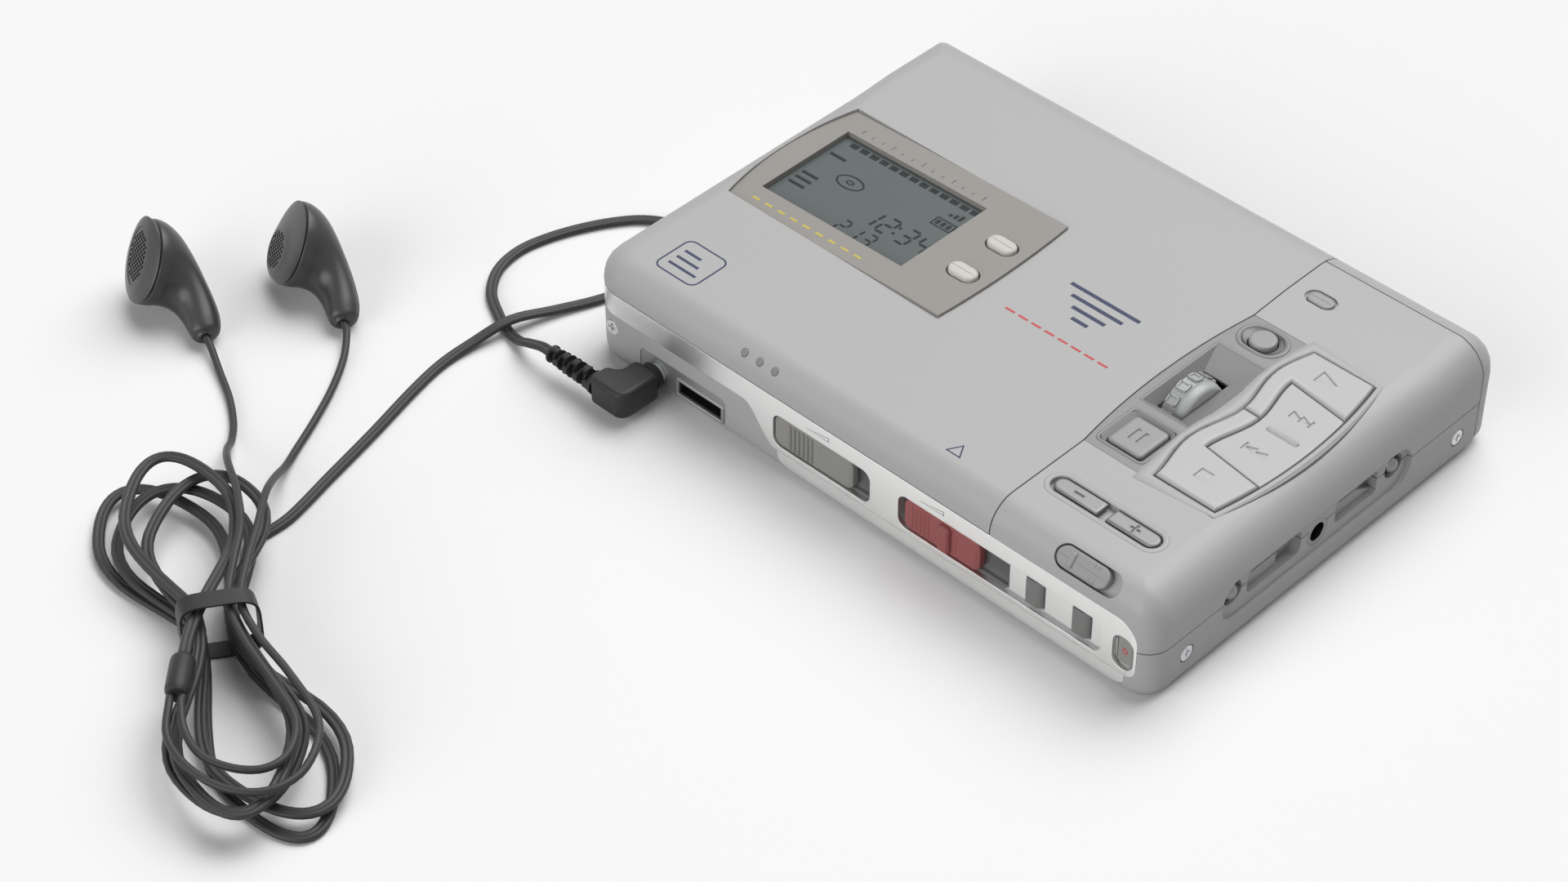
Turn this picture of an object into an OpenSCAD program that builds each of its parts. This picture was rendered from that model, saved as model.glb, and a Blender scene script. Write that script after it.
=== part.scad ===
// Portable minidisc recorder with a lid over the disc bay, a control side and a wired earphone set.
// Millimetres, +Z up, origin at the middle of the underside. -Y is the front with the slide controls.

/* [Case] */
// Width of the case, left to right
body_w = 108.9; // [107.5:0.1:113]
// Depth of the case, front to back
body_d = 78.9; // [78:0.1:83]
// Height of the case over its back strip
body_h = 19.1; // [18.9:0.1:21]
// Rise of the back strip over the main top
step_h = 0.4; // [0.2:0.1:0.6]
// Thickness of the case walls
wall = 1.2; // [1:0.05:1.3]
// Width of the control side, right of the lid
control_w = 29.05; // [28.8:0.05:30]
// Height of the lid's lower edge
lid_split_z = 13.8; // [13.6:0.1:14.1]
// Height of the seam between upper and lower case
case_split_z = 9.1; // [8.8:0.1:9.4]
// Rounding of the front top edge
front_r = 4.5; // [4:0.1:4.7]
// Rounding of the back top edge
back_r = 6.2; // [5:0.1:6.5]
// Rounding of the left top edge
left_r = 4.4; // [3.5:0.1:4.7]
// Rounding of the right top edge
right_r = 5.7; // [4.5:0.1:6]
// Rounding of the bottom edges
bottom_r = 2.6; // [2.2:0.1:2.8]

/* [Clearances] */
// Seam between lid, door and case
seam = 0.2; // [0.15:0.05:0.3]
// Gap around keys and sliders
play = 0.2; // [0.15:0.05:0.25]
// Radial running fit of pins and axles
fit = 0.05; // [0.03:0.01:0.08]
// Gap between fixed pieces that meet
joint_gap = 0.04; // [0.02:0.01:0.06]

/* [Lid hinge] */
// Hinge axis in from the back face
hinge_in = 3.95; // [3.8:0.05:4.2]
// Height of the hinge axis
hinge_z = 10.5; // [10.3:0.1:10.7]
// Radius of the hinge pin
pin_r = 0.8; // [0.6:0.1:0.9]
// Radius of the lid's round back corner about the hinge
knuckle_r = 5.1; // [4.9:0.1:5.2]

/* [Battery side] */
// Depth of the battery door
door_d = 5.1; // [4.9:0.1:5.4]
// Radius of the door pivots
pivot_r = 0.6; // [0.5:0.05:0.7]
// Width of the battery
battery_w = 18; // [17:0.1:18.2]
// Length of the battery
battery_l = 63; // [60:0.5:63.5]
// Thickness of the battery
battery_h = 9.8; // [8.5:0.1:10]

/* [Display] */
// Length of the display bezel at its upper and lower side
bezel_w = 42.6; // [42:0.1:43.5]
// Depth of the bezel, front to back
bezel_d = 28.5; // [28:0.1:29.5]
// Width of the display window
lcd_w = 28.4; // [27:0.1:28.6]
// Depth of the display window
lcd_d = 18.9; // [18:0.1:19.2]
// Tilt of the bezel, lower at the left
bezel_tilt = 1.2; // [0.8:0.1:1.3]
// Length of the two bezel buttons
small_key_w = 5; // [4.6:0.1:5.3]
// Depth of the two bezel buttons
small_key_d = 2.95; // [2.7:0.05:3.1]

/* [Control keys] */
// Travel of the keys
key_travel = 0.4; // [0.3:0.05:0.45]
// Radius of the jog dial over its pads
dial_r = 6; // [5.8:0.1:6.1]
// Width of the jog dial
dial_w = 4; // [3.6:0.1:4.2]
// Number of pads round the jog dial
dial_pads = 18; // [12:1:20]
// Radius of the title button
title_r = 2.1; // [1.9:0.1:2.2]
// Length of each volume key
volume_w = 8.4; // [8:0.1:8.6]
// Depth of the volume keys
volume_d = 2.7; // [2.5:0.1:2.9]

/* [Front controls] */
// Thickness of the front plate
plate_t = 0.8; // [0.6:0.05:0.85]
// Travel of the lid release
open_travel = 3.3; // [3:0.1:3.5]
// Travel of the record slider
rec_travel = 4.4; // [4:0.1:4.6]
// Travel of the hold slider
hold_travel = 2; // [1.6:0.1:2.1]
// Height of the slots in the front plate
slot_h = 5.9; // [5.6:0.1:6]
// Radius of the headphone jack bore
jack_r = 1.8; // [1.75:0.01:1.85]

/* [Disc bay] */
// Width of the disc cartridge that goes in
cart_w = 72; // [71.5:0.1:72.5]
// Depth of the disc cartridge
cart_d = 68; // [67.5:0.1:68.3]
// Thickness of the disc cartridge
cart_h = 5; // [4.9:0.05:5.1]
// Travel of the pickup sled
sled_travel = 16; // [14:0.5:16]
// Radius of the spindle motor
motor_r = 9; // [8.5:0.1:9]

/* [Earphone set] */
// Width of the flat twin cord
cord_w = 1.8; // [1.6:0.05:1.85]
// Thickness of the flat twin cord
cord_h = 1; // [0.9:0.05:1.05]
// Diameter of the single wires to the earphones
wire_d = 1.15; // [1:0.05:1.2]
// Loops in the tied hank
hank_loops = 4; // [3:1:4]
// Radius of the plug pin
plug_r = 1.75; // [1.7:0.01:1.75]
// Radius of an earphone's front rim
ear_r = 6.6; // [6.4:0.1:6.8]

/* [Hidden] */
$fn = 48;
eps = 0.01;
far = 200;

// Faces of the case and the main levels
xl = -body_w / 2;
xr = body_w / 2;
yf = -body_d / 2;
yb = body_d / 2;
zt = body_h - step_h;
lid_x = xr - control_w;
inner_top = zt - wall;
ramp_y0 = yb - 22.4;
ramp_y1 = yb - 14.4;
corner_fr = 4;
corner_fl = 6;
corner_bl = 3;
corner_br = 5;
corner_n = 6;
hinge_y = yb - hinge_in;
door_y = yb - door_d;
front_wall = 2.4;
wall_back_y = yf + front_wall;
front_cut_y = wall_back_y + 2;

// Colours
body_grey = [0.74, 0.74, 0.74];
deck_grey = [0.7, 0.7, 0.7];
key_grey = [0.78, 0.78, 0.78];
bezel_grey = [0.63, 0.61, 0.58];
plate_white = [0.9, 0.9, 0.9];
slider_grey = [0.48, 0.47, 0.45];
rec_red = [0.58, 0.27, 0.28];
dark_grey = [0.28, 0.28, 0.29];
off_white = [0.86, 0.86, 0.82];
board_green = [0.1, 0.3, 0.2];
steel = [0.62, 0.63, 0.65];
chrome = [0.85, 0.85, 0.87];
brass = [0.75, 0.6, 0.3];
cord_black = [0.2, 0.2, 0.2];

// Basic shapes

module box(a, b) {
    translate(a) cube(b - a);
}

// A bar with half-round ends, centred on c in plan
module pill(c, s, z0, z1) {
    translate([c.x, c.y, z0]) linear_extrude(z1 - z0) pill_2d(s);
}

module pill_2d(s) {
    r = min(s.x, s.y) / 2;
    d = [s.x / 2 - r, s.y / 2 - r];
    for (k = [-1, 1]) translate(k * d) circle(r);
    square(d.x > 0 ? [2 * d.x, 2 * r] : [2 * r, 2 * d.y], center = true);
}

// A rectangle from a to b with rounded corners
module round_rect(a, b, r) {
    for (x = [a.x + r, b.x - r], y = [a.y + r, b.y - r]) translate([x, y]) circle(r);
    translate([a.x + r, a.y]) square([b.x - a.x - 2 * r, b.y - a.y]);
    translate([a.x, a.y + r]) square([b.x - a.x, b.y - a.y - 2 * r]);
}

// Extrudes a front view drawn in x and z, from y0 back to y1
module from_front(y0, y1) {
    translate([0, y1, 0]) rotate([90, 0, 0]) linear_extrude(y1 - y0) children();
}

// Extrudes a side view drawn in y and z, from x0 to x1
module from_side(x0, x1) {
    translate([x0, 0, 0]) rotate([90, 0, 90]) linear_extrude(x1 - x0) children();
}

module rod_x(x0, x1, y, z, r) {
    translate([x0, y, z]) rotate([0, 90, 0]) cylinder(r = r, h = x1 - x0);
}

module rod_y(y0, y1, x, z, r) {
    translate([x, y0, z]) rotate([-90, 0, 0]) cylinder(r = r, h = y1 - y0);
}

function mix(a, b, t) = a + (b - a) * t;
function clamp(v) = min(max(v, 0), 1);
function smooth(v) = let (t = clamp(v)) t * t * (3 - 2 * t);

// Case form: rings of a rounded rectangle, each edge with its own rounding

function rise(y) = step_h * clamp((y - ramp_y0) / (ramp_y1 - ramp_y0));
function arc_at(c, r, a0) =
    [for (i = [0:corner_n]) c + r * [cos(a0 + 90 * i / corner_n), sin(a0 + 90 * i / corner_n)]];

// Plan of one ring; inset holds the distances in from the front, right, back and left face
function ring_plan(inset) =
    let (
        x0 = xl + inset[3], x1 = xr - inset[1], y0 = yf + inset[0], y1 = yb - inset[2],
        fr = max(corner_fr - (inset[0] + inset[1]) / 2, 0.5),
        br = max(corner_br - (inset[2] + inset[1]) / 2, 0.5),
        bl = max(corner_bl - (inset[2] + inset[3]) / 2, 0.5),
        fl = max(corner_fl - (inset[0] + inset[3]) / 2, 0.5)
    )
    concat(
        arc_at([x1 - fr, y0 + fr], fr, -90),
        [[x1, ramp_y0], [x1, ramp_y1]],
        arc_at([x1 - br, y1 - br], br, 0),
        arc_at([x0 + bl, y1 - bl], bl, 90),
        [[x0, ramp_y1], [x0, ramp_y0]],
        arc_at([x0 + fl, y0 + fl], fl, 180)
    );

// Edge rounding at each point of a ring, blended round the corners
function ring_radii(r) =
    let (f = r[0], s = r[1], b = r[2], l = r[3])
    concat(
        [for (i = [0:corner_n]) mix(f, s, i / corner_n)], [s, s],
        [for (i = [0:corner_n]) mix(s, b, i / corner_n)],
        [for (i = [0:corner_n]) mix(b, l, i / corner_n)], [l, l],
        [for (i = [0:corner_n]) mix(l, f, i / corner_n)]
    );

function top_ring(t, phi) =
    let (
        r = [for (e = [front_r, right_r, back_r, left_r]) max(e - t, 0.6)],
        plan = ring_plan([for (e = r) t + e * (1 - cos(phi))]),
        radii = ring_radii(r)
    )
    [for (i = [0:len(plan) - 1])
        [plan[i].x, plan[i].y, zt + rise(plan[i].y) - t - radii[i] * (1 - sin(phi))]];

function bottom_ring(t, phi) =
    let (r = max(bottom_r - t, 0.6), d = t + r * (1 - cos(phi)), plan = ring_plan([d, d, d, d]))
    [for (p = plan) [p.x, p.y, t + r * (1 - sin(phi))]];

// The whole case form, drawn in by t on every side
module case_form(t) {
    rings = concat(
        [for (phi = [90, 67.5, 45, 22.5, 0]) bottom_ring(t, phi)],
        [for (phi = [0:15:90]) top_ring(t, phi)]
    );
    n = len(rings[0]);
    m = len(rings);
    sides = [for (j = [0:m - 2], i = [0:n - 1]) let (a = j * n + i, b = j * n + (i + 1) % n)
        each [[a, a + n, b + n], [a, b + n, b]]];
    base = [[for (i = [0:n - 1]) i]];
    k = (m - 1) * n;
    top = [for (i = [0:n / 2 - 2]) each [
        [k + n - 1 - i, k + n - 2 - i, k + i + 1], [k + n - 1 - i, k + i + 1, k + i]]];
    polyhedron(points = [for (r = rings) each r], faces = concat(sides, base, top));
}

// Straight-sided plan of the case, drawn in by t
module plan_block(t, z0, z1) {
    translate([0, 0, z0]) linear_extrude(z1 - z0) {
        for (c = [[xr - corner_fr, yf + corner_fr, corner_fr], [xl + corner_fl, yf + corner_fl, corner_fl]])
            translate([c.x, c.y]) circle(c.z - t);
        translate([xl + corner_fl, yf + t]) square([body_w - corner_fl - corner_fr, body_d - t]);
        translate([xl + t, yf + corner_fl]) square([body_w - 2 * t, body_d - corner_fl]);
        translate([0, yf + corner_fr]) square([xr - t, body_d - corner_fr]);
    }
}

// Front plate outline, windows and what slides in them

plate_z0 = 3.9;
plate_z1 = lid_split_z - seam;
band_z0 = 9.7;
plate_x1 = xr - 2.65;
curve_x0 = xr - 76.5;
curve_x1 = xr - 70.3;
plate_wrap = 9;
slot_z = 7.75;
slot_z0 = slot_z - slot_h / 2;
slot_z1 = slot_z + slot_h / 2;
slot_r = 1.6;
open_x0 = xr - 70.55;
open_l = 19.1;
rec_x0 = xr - 46.05;
rec_l = 20.6;
window_x1 = xr - 8.65;
erase_x0 = xr - 6.65;
erase_x1 = xr - 3.05;
panel_z0 = slot_z0 + 0.9;
panel_in = 0.4;
pocket_y = yf + 1.5;
slide_y0 = yf + 0.15;
slide_y1 = pocket_y - 0.15;
stem_h = 2;
stem_w = 3;
keeper_y0 = wall_back_y + 0.15;
keeper_t = 0.75;

module plate_outline(g) {
    s = [for (i = [0:8]) [mix(curve_x0, curve_x1, i / 8) - g, mix(band_z0, plate_z0, smooth(i / 8)) - g]];
    rb = 1.5 + g;
    rt = 3.5 + g;
    x1 = plate_x1 + g;
    z0 = plate_z0 - g;
    z1 = plate_z1 + g / 2;
    polygon(concat(
        [[-far, z1], [-far, band_z0 - g]], s,
        [for (a = [-90:15:0]) [x1 - rb + rb * cos(a), z0 + rb + rb * sin(a)]],
        [for (a = [0:15:90]) [x1 - rt + rt * cos(a), z1 - rt + rt * sin(a)]]
    ));
}

module plate_zone(t, g) {
    difference() {
        intersection() {
            plan_block(-g / 2, 0, body_h);
            from_front(yf - 1, yf + plate_wrap + g) plate_outline(g);
        }
        plan_block(t, -1, body_h + 1);
    }
}

module slot_outline(x0, x1, g) {
    round_rect([x0 - g, slot_z0 - g], [x1 + g, slot_z1 + g], slot_r);
}

end_key_x = xr - 20.7;
mark_key_x = xr - 12.35;
side_key_w = 3.1;
side_key_h = 4.7;
side_key_z = slot_z + 0.35;
erase_key_x = xr - 4.8;
erase_key_w = 2.7;
erase_key_h = 5;

// What the front controls need cut out of the case behind the plate
module front_cuts() {
    plate_zone(plate_t + joint_gap, joint_gap);
    from_front(yf - 1, pocket_y) slot_outline(open_x0, open_x0 + open_l, 0);
    from_front(yf - 1, pocket_y) slot_outline(rec_x0, rec_x0 + rec_l, 0);
    from_front(yf - 1, front_cut_y) open_stem(open_travel, play);
    from_front(yf - 1, front_cut_y) rec_stem(rec_travel, play);
    for (x = [end_key_x, mark_key_x])
        from_front(yf - 1, front_cut_y) side_key_outline(x, side_key_w, side_key_h, side_key_z, play);
    from_front(yf - 1, front_cut_y) side_key_outline(erase_key_x, erase_key_w, erase_key_h, slot_z, play);
}

module side_key_outline(x, w, h, z, g) {
    round_rect([x - w / 2 - g, z - h / 2 - g], [x + w / 2 + g, z + h / 2 + g], 0.5 + g);
}

open_stem_x = open_x0 + 6;
rec_stem_x = rec_x0 + 7;

module stem_outline(x, travel, g) {
    translate([x - stem_w / 2 - g, slot_z - stem_h / 2 - g])
        square([stem_w + travel + 2 * g, stem_h + 2 * g]);
}

module open_stem(travel, g) {
    stem_outline(open_stem_x, travel, g);
}

module rec_stem(travel, g) {
    stem_outline(rec_stem_x, travel, g);
}

// Hold slider frame: the front rounding of the control side, tipped to its own slope
hold_tip = 42;
hold_x = xr - 12.65;
hold_slot_l = 11.4;
hold_x0 = hold_x - hold_slot_l / 2;
hold_l = 9;
hold_w = 3.2;
hold_slot_w = 3.7;
hold_floor = front_r - 1.6;

module on_front_slope() {
    translate([0, yf + front_r, zt - front_r]) rotate([-hold_tip, 0, 0]) children();
}

// Dock recess and fittings on the right side
dock_y0 = -24.2;
dock_y1 = 18.2;
dock_z0 = 4.5;
dock_z1 = 12.2;
dock_deep = 0.7;
dock_pad = 1.5;
contact_z = 9.2;
contact_ys = [-21.3, 14.7];
contact_hole_r = 2;
insert_y = -2.5;
insert_z = 8;
insert_r = 1.5;
insert_out = 2.2;
side_screw_ys = [-31.4, 29.7];
side_screw_z = 5.3;
screw_r = 1.25;
screw_sink_r = 1.45;
screw_sink = 0.5;
thread_r = 0.75;

module side_cuts() {
    mid_z = (dock_z0 + dock_z1) / 2;
    from_side(xr - dock_deep, xr + 1)
        translate([(dock_y0 + dock_y1) / 2, mid_z]) pill_2d([dock_y1 - dock_y0, dock_z1 - dock_z0]);
    for (y = contact_ys) rod_x(xr - wall - dock_pad - 1, xr + 1, y, contact_z, contact_hole_r);
    rod_x(xr - wall - dock_pad - 1, xr + 1, insert_y, insert_z, insert_out + joint_gap);
    from_side(xr - 1.6, xr + 1) round_rect([-18, 6.6], [-6.2, 10.8], 1);
    from_side(xr - 1.6, xr + 1) round_rect([1.5, 6.6], [11, 10.8], 1);
    from_side(xr - 2.4, xr + 1) round_rect([-10.6, 6.6], [-6.2, 10.8], 1);
    from_side(xr - 2.4, xr + 1) polygon([[11, 10.4], [7.6, 8.7], [11, 7]]);
    for (y = side_screw_ys) {
        rod_x(xr - screw_sink, xr + 1, y, side_screw_z, screw_sink_r);
        rod_x(xr - wall - dock_pad - 1, xr + 1, y, side_screw_z, thread_r + joint_gap);
    }
}

// Stiffening behind the dock recess, between the given heights
module dock_backing(z0, z1) {
    box([xr - wall - dock_pad, dock_y0 - 2, z0], [xr - wall + 0.2, dock_y1 + 2, z1]);
}

// Hinge and door axes
lug_xs = [xl + 3.95, lid_x - 4.4];
arm_xs = [xl + 6.55, lid_x - 7.4];
lug_t = 2;
arm_t = 2.4;
holder_arm_t = 1.5;
barrel_r = pin_r + 0.9;
pivot_y = yb - bottom_r;
pivot_z = bottom_r;
pivot_barrel_r = pivot_r + 0.6;
pivot_lug_xs = [lid_x + 1, xr - wall - 5.6];
pivot_lug_t = 1.4;
pivot_arm_xs = [lid_x + 2.7, xr - wall - 8.2];
pivot_arm_t = 2.3;
boss_r = 1.6;
board_z = 2;
board_t = 0.8;
bay_x = lid_x - 38.9;
jack_x = xl + 14.55;
jack_z = 3.9;
jack_x0 = jack_x - 3.5;
jack_x1 = jack_x + 14.1;
jack_z0 = 1.9;
jack_z1 = 6.8;
jack_back = yf + 13;
in_jack_z = 5.4;
in_jack_ys = [-18, -10];
dc_jack_y = 8;
dc_jack_r = jack_r - 0.2;
nose_t = 0.5;
nose_in = 0.2;
front_screw_x = xl + 4.95;
front_screw_z = 6.9;
foot_screws = [[xl + 12, yf + 26], [xl + 12, yb - 12], [lid_x + 3, yb - 18], [xr - 8, yf + 6]];

module lower_case() {
    color(body_grey) {
        difference() {
            intersection() {
                case_form(0);
                union() {
                    box([-far, -far, -1], [lid_x, far, lid_split_z - seam]);
                    box([lid_x - 1, -far, -1], [far, door_y - seam, case_split_z - seam / 2]);
                    box([lid_x - 1, -far, -1], [far, pivot_y, bottom_r]);
                }
            }
            difference() {
                case_form(wall);
                box([xl + corner_fl, yf, 0], [xr - corner_fr, wall_back_y, body_h]);
                dock_backing(2.5, case_split_z);
            }
            rod_x(xl - 1, lid_x, hinge_y, hinge_z, knuckle_r + 0.3);
            rod_x(lid_x - seam, xr + 1, pivot_y, pivot_z, bottom_r + seam);
            box([lid_x - seam, door_y - seam, bottom_r - 0.6], [xr + 1, yb + 1, body_h]);
            front_cuts();
            side_cuts();
            from_front(yf - 1, front_cut_y) jack_outline(joint_gap);
            jack_noses(xl - 1, xl + wall + 3, nose_t + joint_gap);
            rod_y(yf - 1, yf + 0.7, front_screw_x, front_screw_z, screw_r + joint_gap);
            for (p = foot_screws) translate([p.x, p.y, -1]) cylinder(r = screw_sink_r, h = 1.5);
        }
        for (x = lug_xs) hinge_lug(x);
        for (x = pivot_lug_xs) pivot_lug(x);
        for (p = board_posts) translate([p.x, p.y, wall - 0.2])
            cylinder(r = boss_r, h = board_z - wall + 0.2 - joint_gap);
        box([battery_x - 1.2, -battery_l / 2, wall - 0.2], [battery_x - 0.4, door_y - 5, battery_z + 3]);
    }
}

// Round bars on the axes of the side jacks, g over their bores
module jack_noses(x0, x1, g) {
    for (y = in_jack_ys) rod_x(x0, x1, y, in_jack_z, jack_r + g);
    rod_x(x0, x1, dc_jack_y, in_jack_z, dc_jack_r + g);
}

module jack_outline(g) {
    round_rect([jack_x0 - g, jack_z0 - g], [jack_x1 + g, jack_z1 + g], 1);
}

board_posts = [[xl + 8, yf + 22], [xl + 8, yb - 9], [lid_x - 5, yf + 22], [lid_x - 5, yb - 9]];

module hinge_lug(x) {
    difference() {
        union() {
            rod_x(x, x + lug_t, hinge_y, hinge_z, barrel_r);
            box([x, hinge_y - barrel_r, wall - 0.2], [x + lug_t, hinge_y + 0.6, hinge_z]);
        }
        rod_x(x - 1, x + lug_t + 1, hinge_y, hinge_z, pin_r + joint_gap);
    }
}

module pivot_lug(x) {
    x1 = x + pivot_lug_t;
    foot_y = pivot_y - bottom_r - 1.6;
    difference() {
        union() {
            rod_x(x, x1, pivot_y, pivot_z, pivot_barrel_r);
            box([x, foot_y, pivot_z - 0.4], [x1, pivot_y, pivot_z + 0.4]);
            box([x, foot_y, wall - 0.2], [x1, foot_y + 1.2, pivot_z + 0.4]);
        }
        rod_x(x - 1, x1 + 1, pivot_y, pivot_z, pivot_r + fit);
    }
}

// Control deck and keys, all placed from the lid seam and the main top

deck_y0 = -20;
deck_y1 = 17.6;
deck_mid = (deck_y0 + deck_y1) / 2;
deck_half = (deck_y1 - deck_y0) / 2;
deck_bulge_l = 1.5;
deck_bulge_r = 2.6;
deck_w = 23;
deck_t = 2.8;
deck_z0 = zt - deck_t;
well_z = zt - 1.1;
key_z0 = zt - 0.6;
key_z1 = zt + 0.5;
switch_z = deck_z0 - 1.8;
stem_r = 1;
stem_gap = 0.25;

function bow_r(half, bulge) = (half * half + bulge * bulge) / (2 * bulge);

deck_rl = bow_r(deck_half, deck_bulge_l);
deck_rr = bow_r(deck_half, deck_bulge_r);

module deck_outline(g) {
    intersection() {
        translate([lid_x - deck_bulge_l + deck_rl, deck_mid]) circle(deck_rl + g, $fn = 240);
        translate([lid_x + deck_w + deck_bulge_r - deck_rr, deck_mid]) circle(deck_rr + g, $fn = 240);
        translate([lid_x - 10, deck_y0 - g]) square([deck_w + 20, deck_y1 - deck_y0 + 2 * g]);
    }
}

// The key group has a waved left side and a bowed right side
group_y0 = -18.8;
group_y1 = 16.7;
group_x = lid_x + 10.95;
group_right = lid_x + 24.1;
group_rr = 85;
wave_h = 0.85;
wave_l = 19.5;
band_w = 3.1;
rocker_y0 = -9.3;
rocker_y1 = 9.5;
rocker_slope = 0.13;
split_y = 0.4;

function wave_x(y) = group_x + wave_h * cos(360 * y / wave_l);

module group_outline(g) {
    intersection() {
        polygon(concat(
            [for (i = [0:24]) let (y = mix(group_y1 + g, group_y0 - g, i / 24)) [wave_x(y) - g, y]],
            [[far, group_y0 - g], [far, group_y1 + g]]
        ));
        translate([group_right - group_rr, deck_mid]) circle(group_rr + g, $fn = 240);
    }
}

module rocker_outline(g) {
    y0 = rocker_y0 - g;
    y1 = rocker_y1 + g;
    reach = 30;
    intersection() {
        polygon(concat(
            [for (i = [0:16]) let (y = mix(y1, y0, i / 16)) [wave_x(y) + band_w - g, y]],
            [[group_x + reach, y0 - rocker_slope * reach], [group_x + reach, y1 - rocker_slope * reach]]
        ));
        translate([group_right - group_rr, deck_mid]) circle(group_rr + g, $fn = 240);
    }
}

module play_outline() {
    difference() {
        intersection() {
            group_outline(0);
            translate([lid_x, split_y + play / 2]) square([control_w, group_y1]);
        }
        rocker_outline(play);
    }
}

module stop_outline() {
    difference() {
        intersection() {
            group_outline(0);
            translate([lid_x, group_y0]) square([control_w, split_y - play / 2 - group_y0]);
        }
        rocker_outline(play);
    }
}

play_stems = [[lid_x + 17.4, 13.2], [lid_x + 11.6, 6.6]];
stop_stems = [[lid_x + 17.4, -14.8], [lid_x + 11.6, -6.2]];
rocker_y = -0.6;
rocker_z0 = zt - 0.8;
rocker_z1 = zt - 0.2;
rocker_floor = zt - 1.4;
rocker_pin_r = 0.7;
rocker_x0 = lid_x + 16;
rocker_x1 = lid_x + 23;
rocker_stems = [[lid_x + 19.4, 5.2], [lid_x + 19.4, -6.4]];
pause_c = [lid_x + 4.9, -14.2];
pause_s = [6.2, 6.8];
pause_z1 = zt + 0.2;
title_c = [lid_x + 4.5, 13.9];
title_z1 = zt + 0.75;
title_stem_r = 1.1;
dial_x0 = lid_x + 1.8;
dial_y = -0.9;
dial_z = zt + 1 - dial_r;
dial_gap = 0.2;
dial_floor = zt - 1.8;
axle_r = 0.8;
pad_h = 0.3;
pad_w = 1.3;
dial_slot = sqrt(dial_r * dial_r - (deck_z0 - dial_z) * (deck_z0 - dial_z)) + 0.4;
axle_lug_x = dial_x0 + dial_w + 0.5;
axle_end_x = axle_lug_x + 1.2;

module control_deck() {
    color(deck_grey) difference() {
        union() {
            translate([0, 0, deck_z0]) linear_extrude(deck_t) deck_outline(0);
            box([axle_lug_x, dial_y - 1.7, dial_z - 1.6], [axle_end_x, dial_y + 1.7, deck_z0 + eps]);
        }
        translate([0, 0, well_z]) linear_extrude(deck_t) group_outline(play);
        translate([0, 0, rocker_floor]) linear_extrude(deck_t) rocker_outline(play);
        rod_x(rocker_x0 - 0.3, rocker_x1 + 0.3, rocker_y, rocker_floor, rocker_pin_r + fit);
        for (p = concat(play_stems, stop_stems, rocker_stems, [pause_c]))
            translate([p.x, p.y, deck_z0 - 1]) cylinder(r = stem_r + stem_gap, h = deck_t + 2);
        translate([pause_c.x, pause_c.y, well_z]) linear_extrude(deck_t)
            round_rect(-pause_s / 2 - [0.9, 0.6], pause_s / 2 + [0.7, 0.7], 0.8);
        pill(title_c, [6.6, 4.9], zt - 0.7, zt + 1);
        translate([title_c.x, title_c.y, deck_z0 - 1]) cylinder(r = title_r + play, h = deck_t + 2);
        dial_recess();
        box([dial_x0 - dial_gap, dial_y - dial_slot, deck_z0 - 1],
            [dial_x0 + dial_w + dial_gap, dial_y + dial_slot, zt]);
        rod_x(axle_lug_x - 1, axle_end_x + 1, dial_y, dial_z, axle_r + joint_gap);
    }
}

// Sloped hollow round the jog dial
module dial_recess() {
    hull() {
        box([lid_x + 0.2, -7.8, zt], [lid_x + 9.1, 9, zt + eps]);
        box([dial_x0 - 0.6, dial_y - 5.5, dial_floor],
            [dial_x0 + dial_w + 0.7, dial_y + 6, dial_floor + eps]);
    }
}

module key_stems(places, z1) {
    for (p = places) translate([p.x, p.y, switch_z]) cylinder(r = stem_r, h = z1 - switch_z);
}

// Play mark: an outlined triangle sunk in the key top
module triangle_mark(c, s, flip) {
    translate(c) mirror([flip, 0, 0]) difference() {
        polygon([[-s, -s * 0.8], [s, 0], [-s, s * 0.8]]);
        polygon([[-s + 0.35, -s * 0.4], [s * 0.4, 0], [-s + 0.35, s * 0.4]]);
    }
}

mark_deep = 0.2;

module play_key() {
    color(key_grey) {
        difference() {
            translate([0, 0, key_z0]) linear_extrude(key_z1 - key_z0) play_outline();
            translate([0, 0, key_z1 - mark_deep]) linear_extrude(1)
                triangle_mark([lid_x + 16.8, 13], 1.4, 0);
        }
        key_stems(play_stems, key_z0 + eps);
    }
}

module stop_key() {
    color(key_grey) {
        difference() {
            translate([0, 0, key_z0]) linear_extrude(key_z1 - key_z0) stop_outline();
            translate([lid_x + 16.9, -14.5, key_z1 - mark_deep]) linear_extrude(1) difference() {
                square(2.2, center = true);
                square(1.5, center = true);
            }
        }
        key_stems(stop_stems, key_z0 + eps);
    }
}

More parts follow.
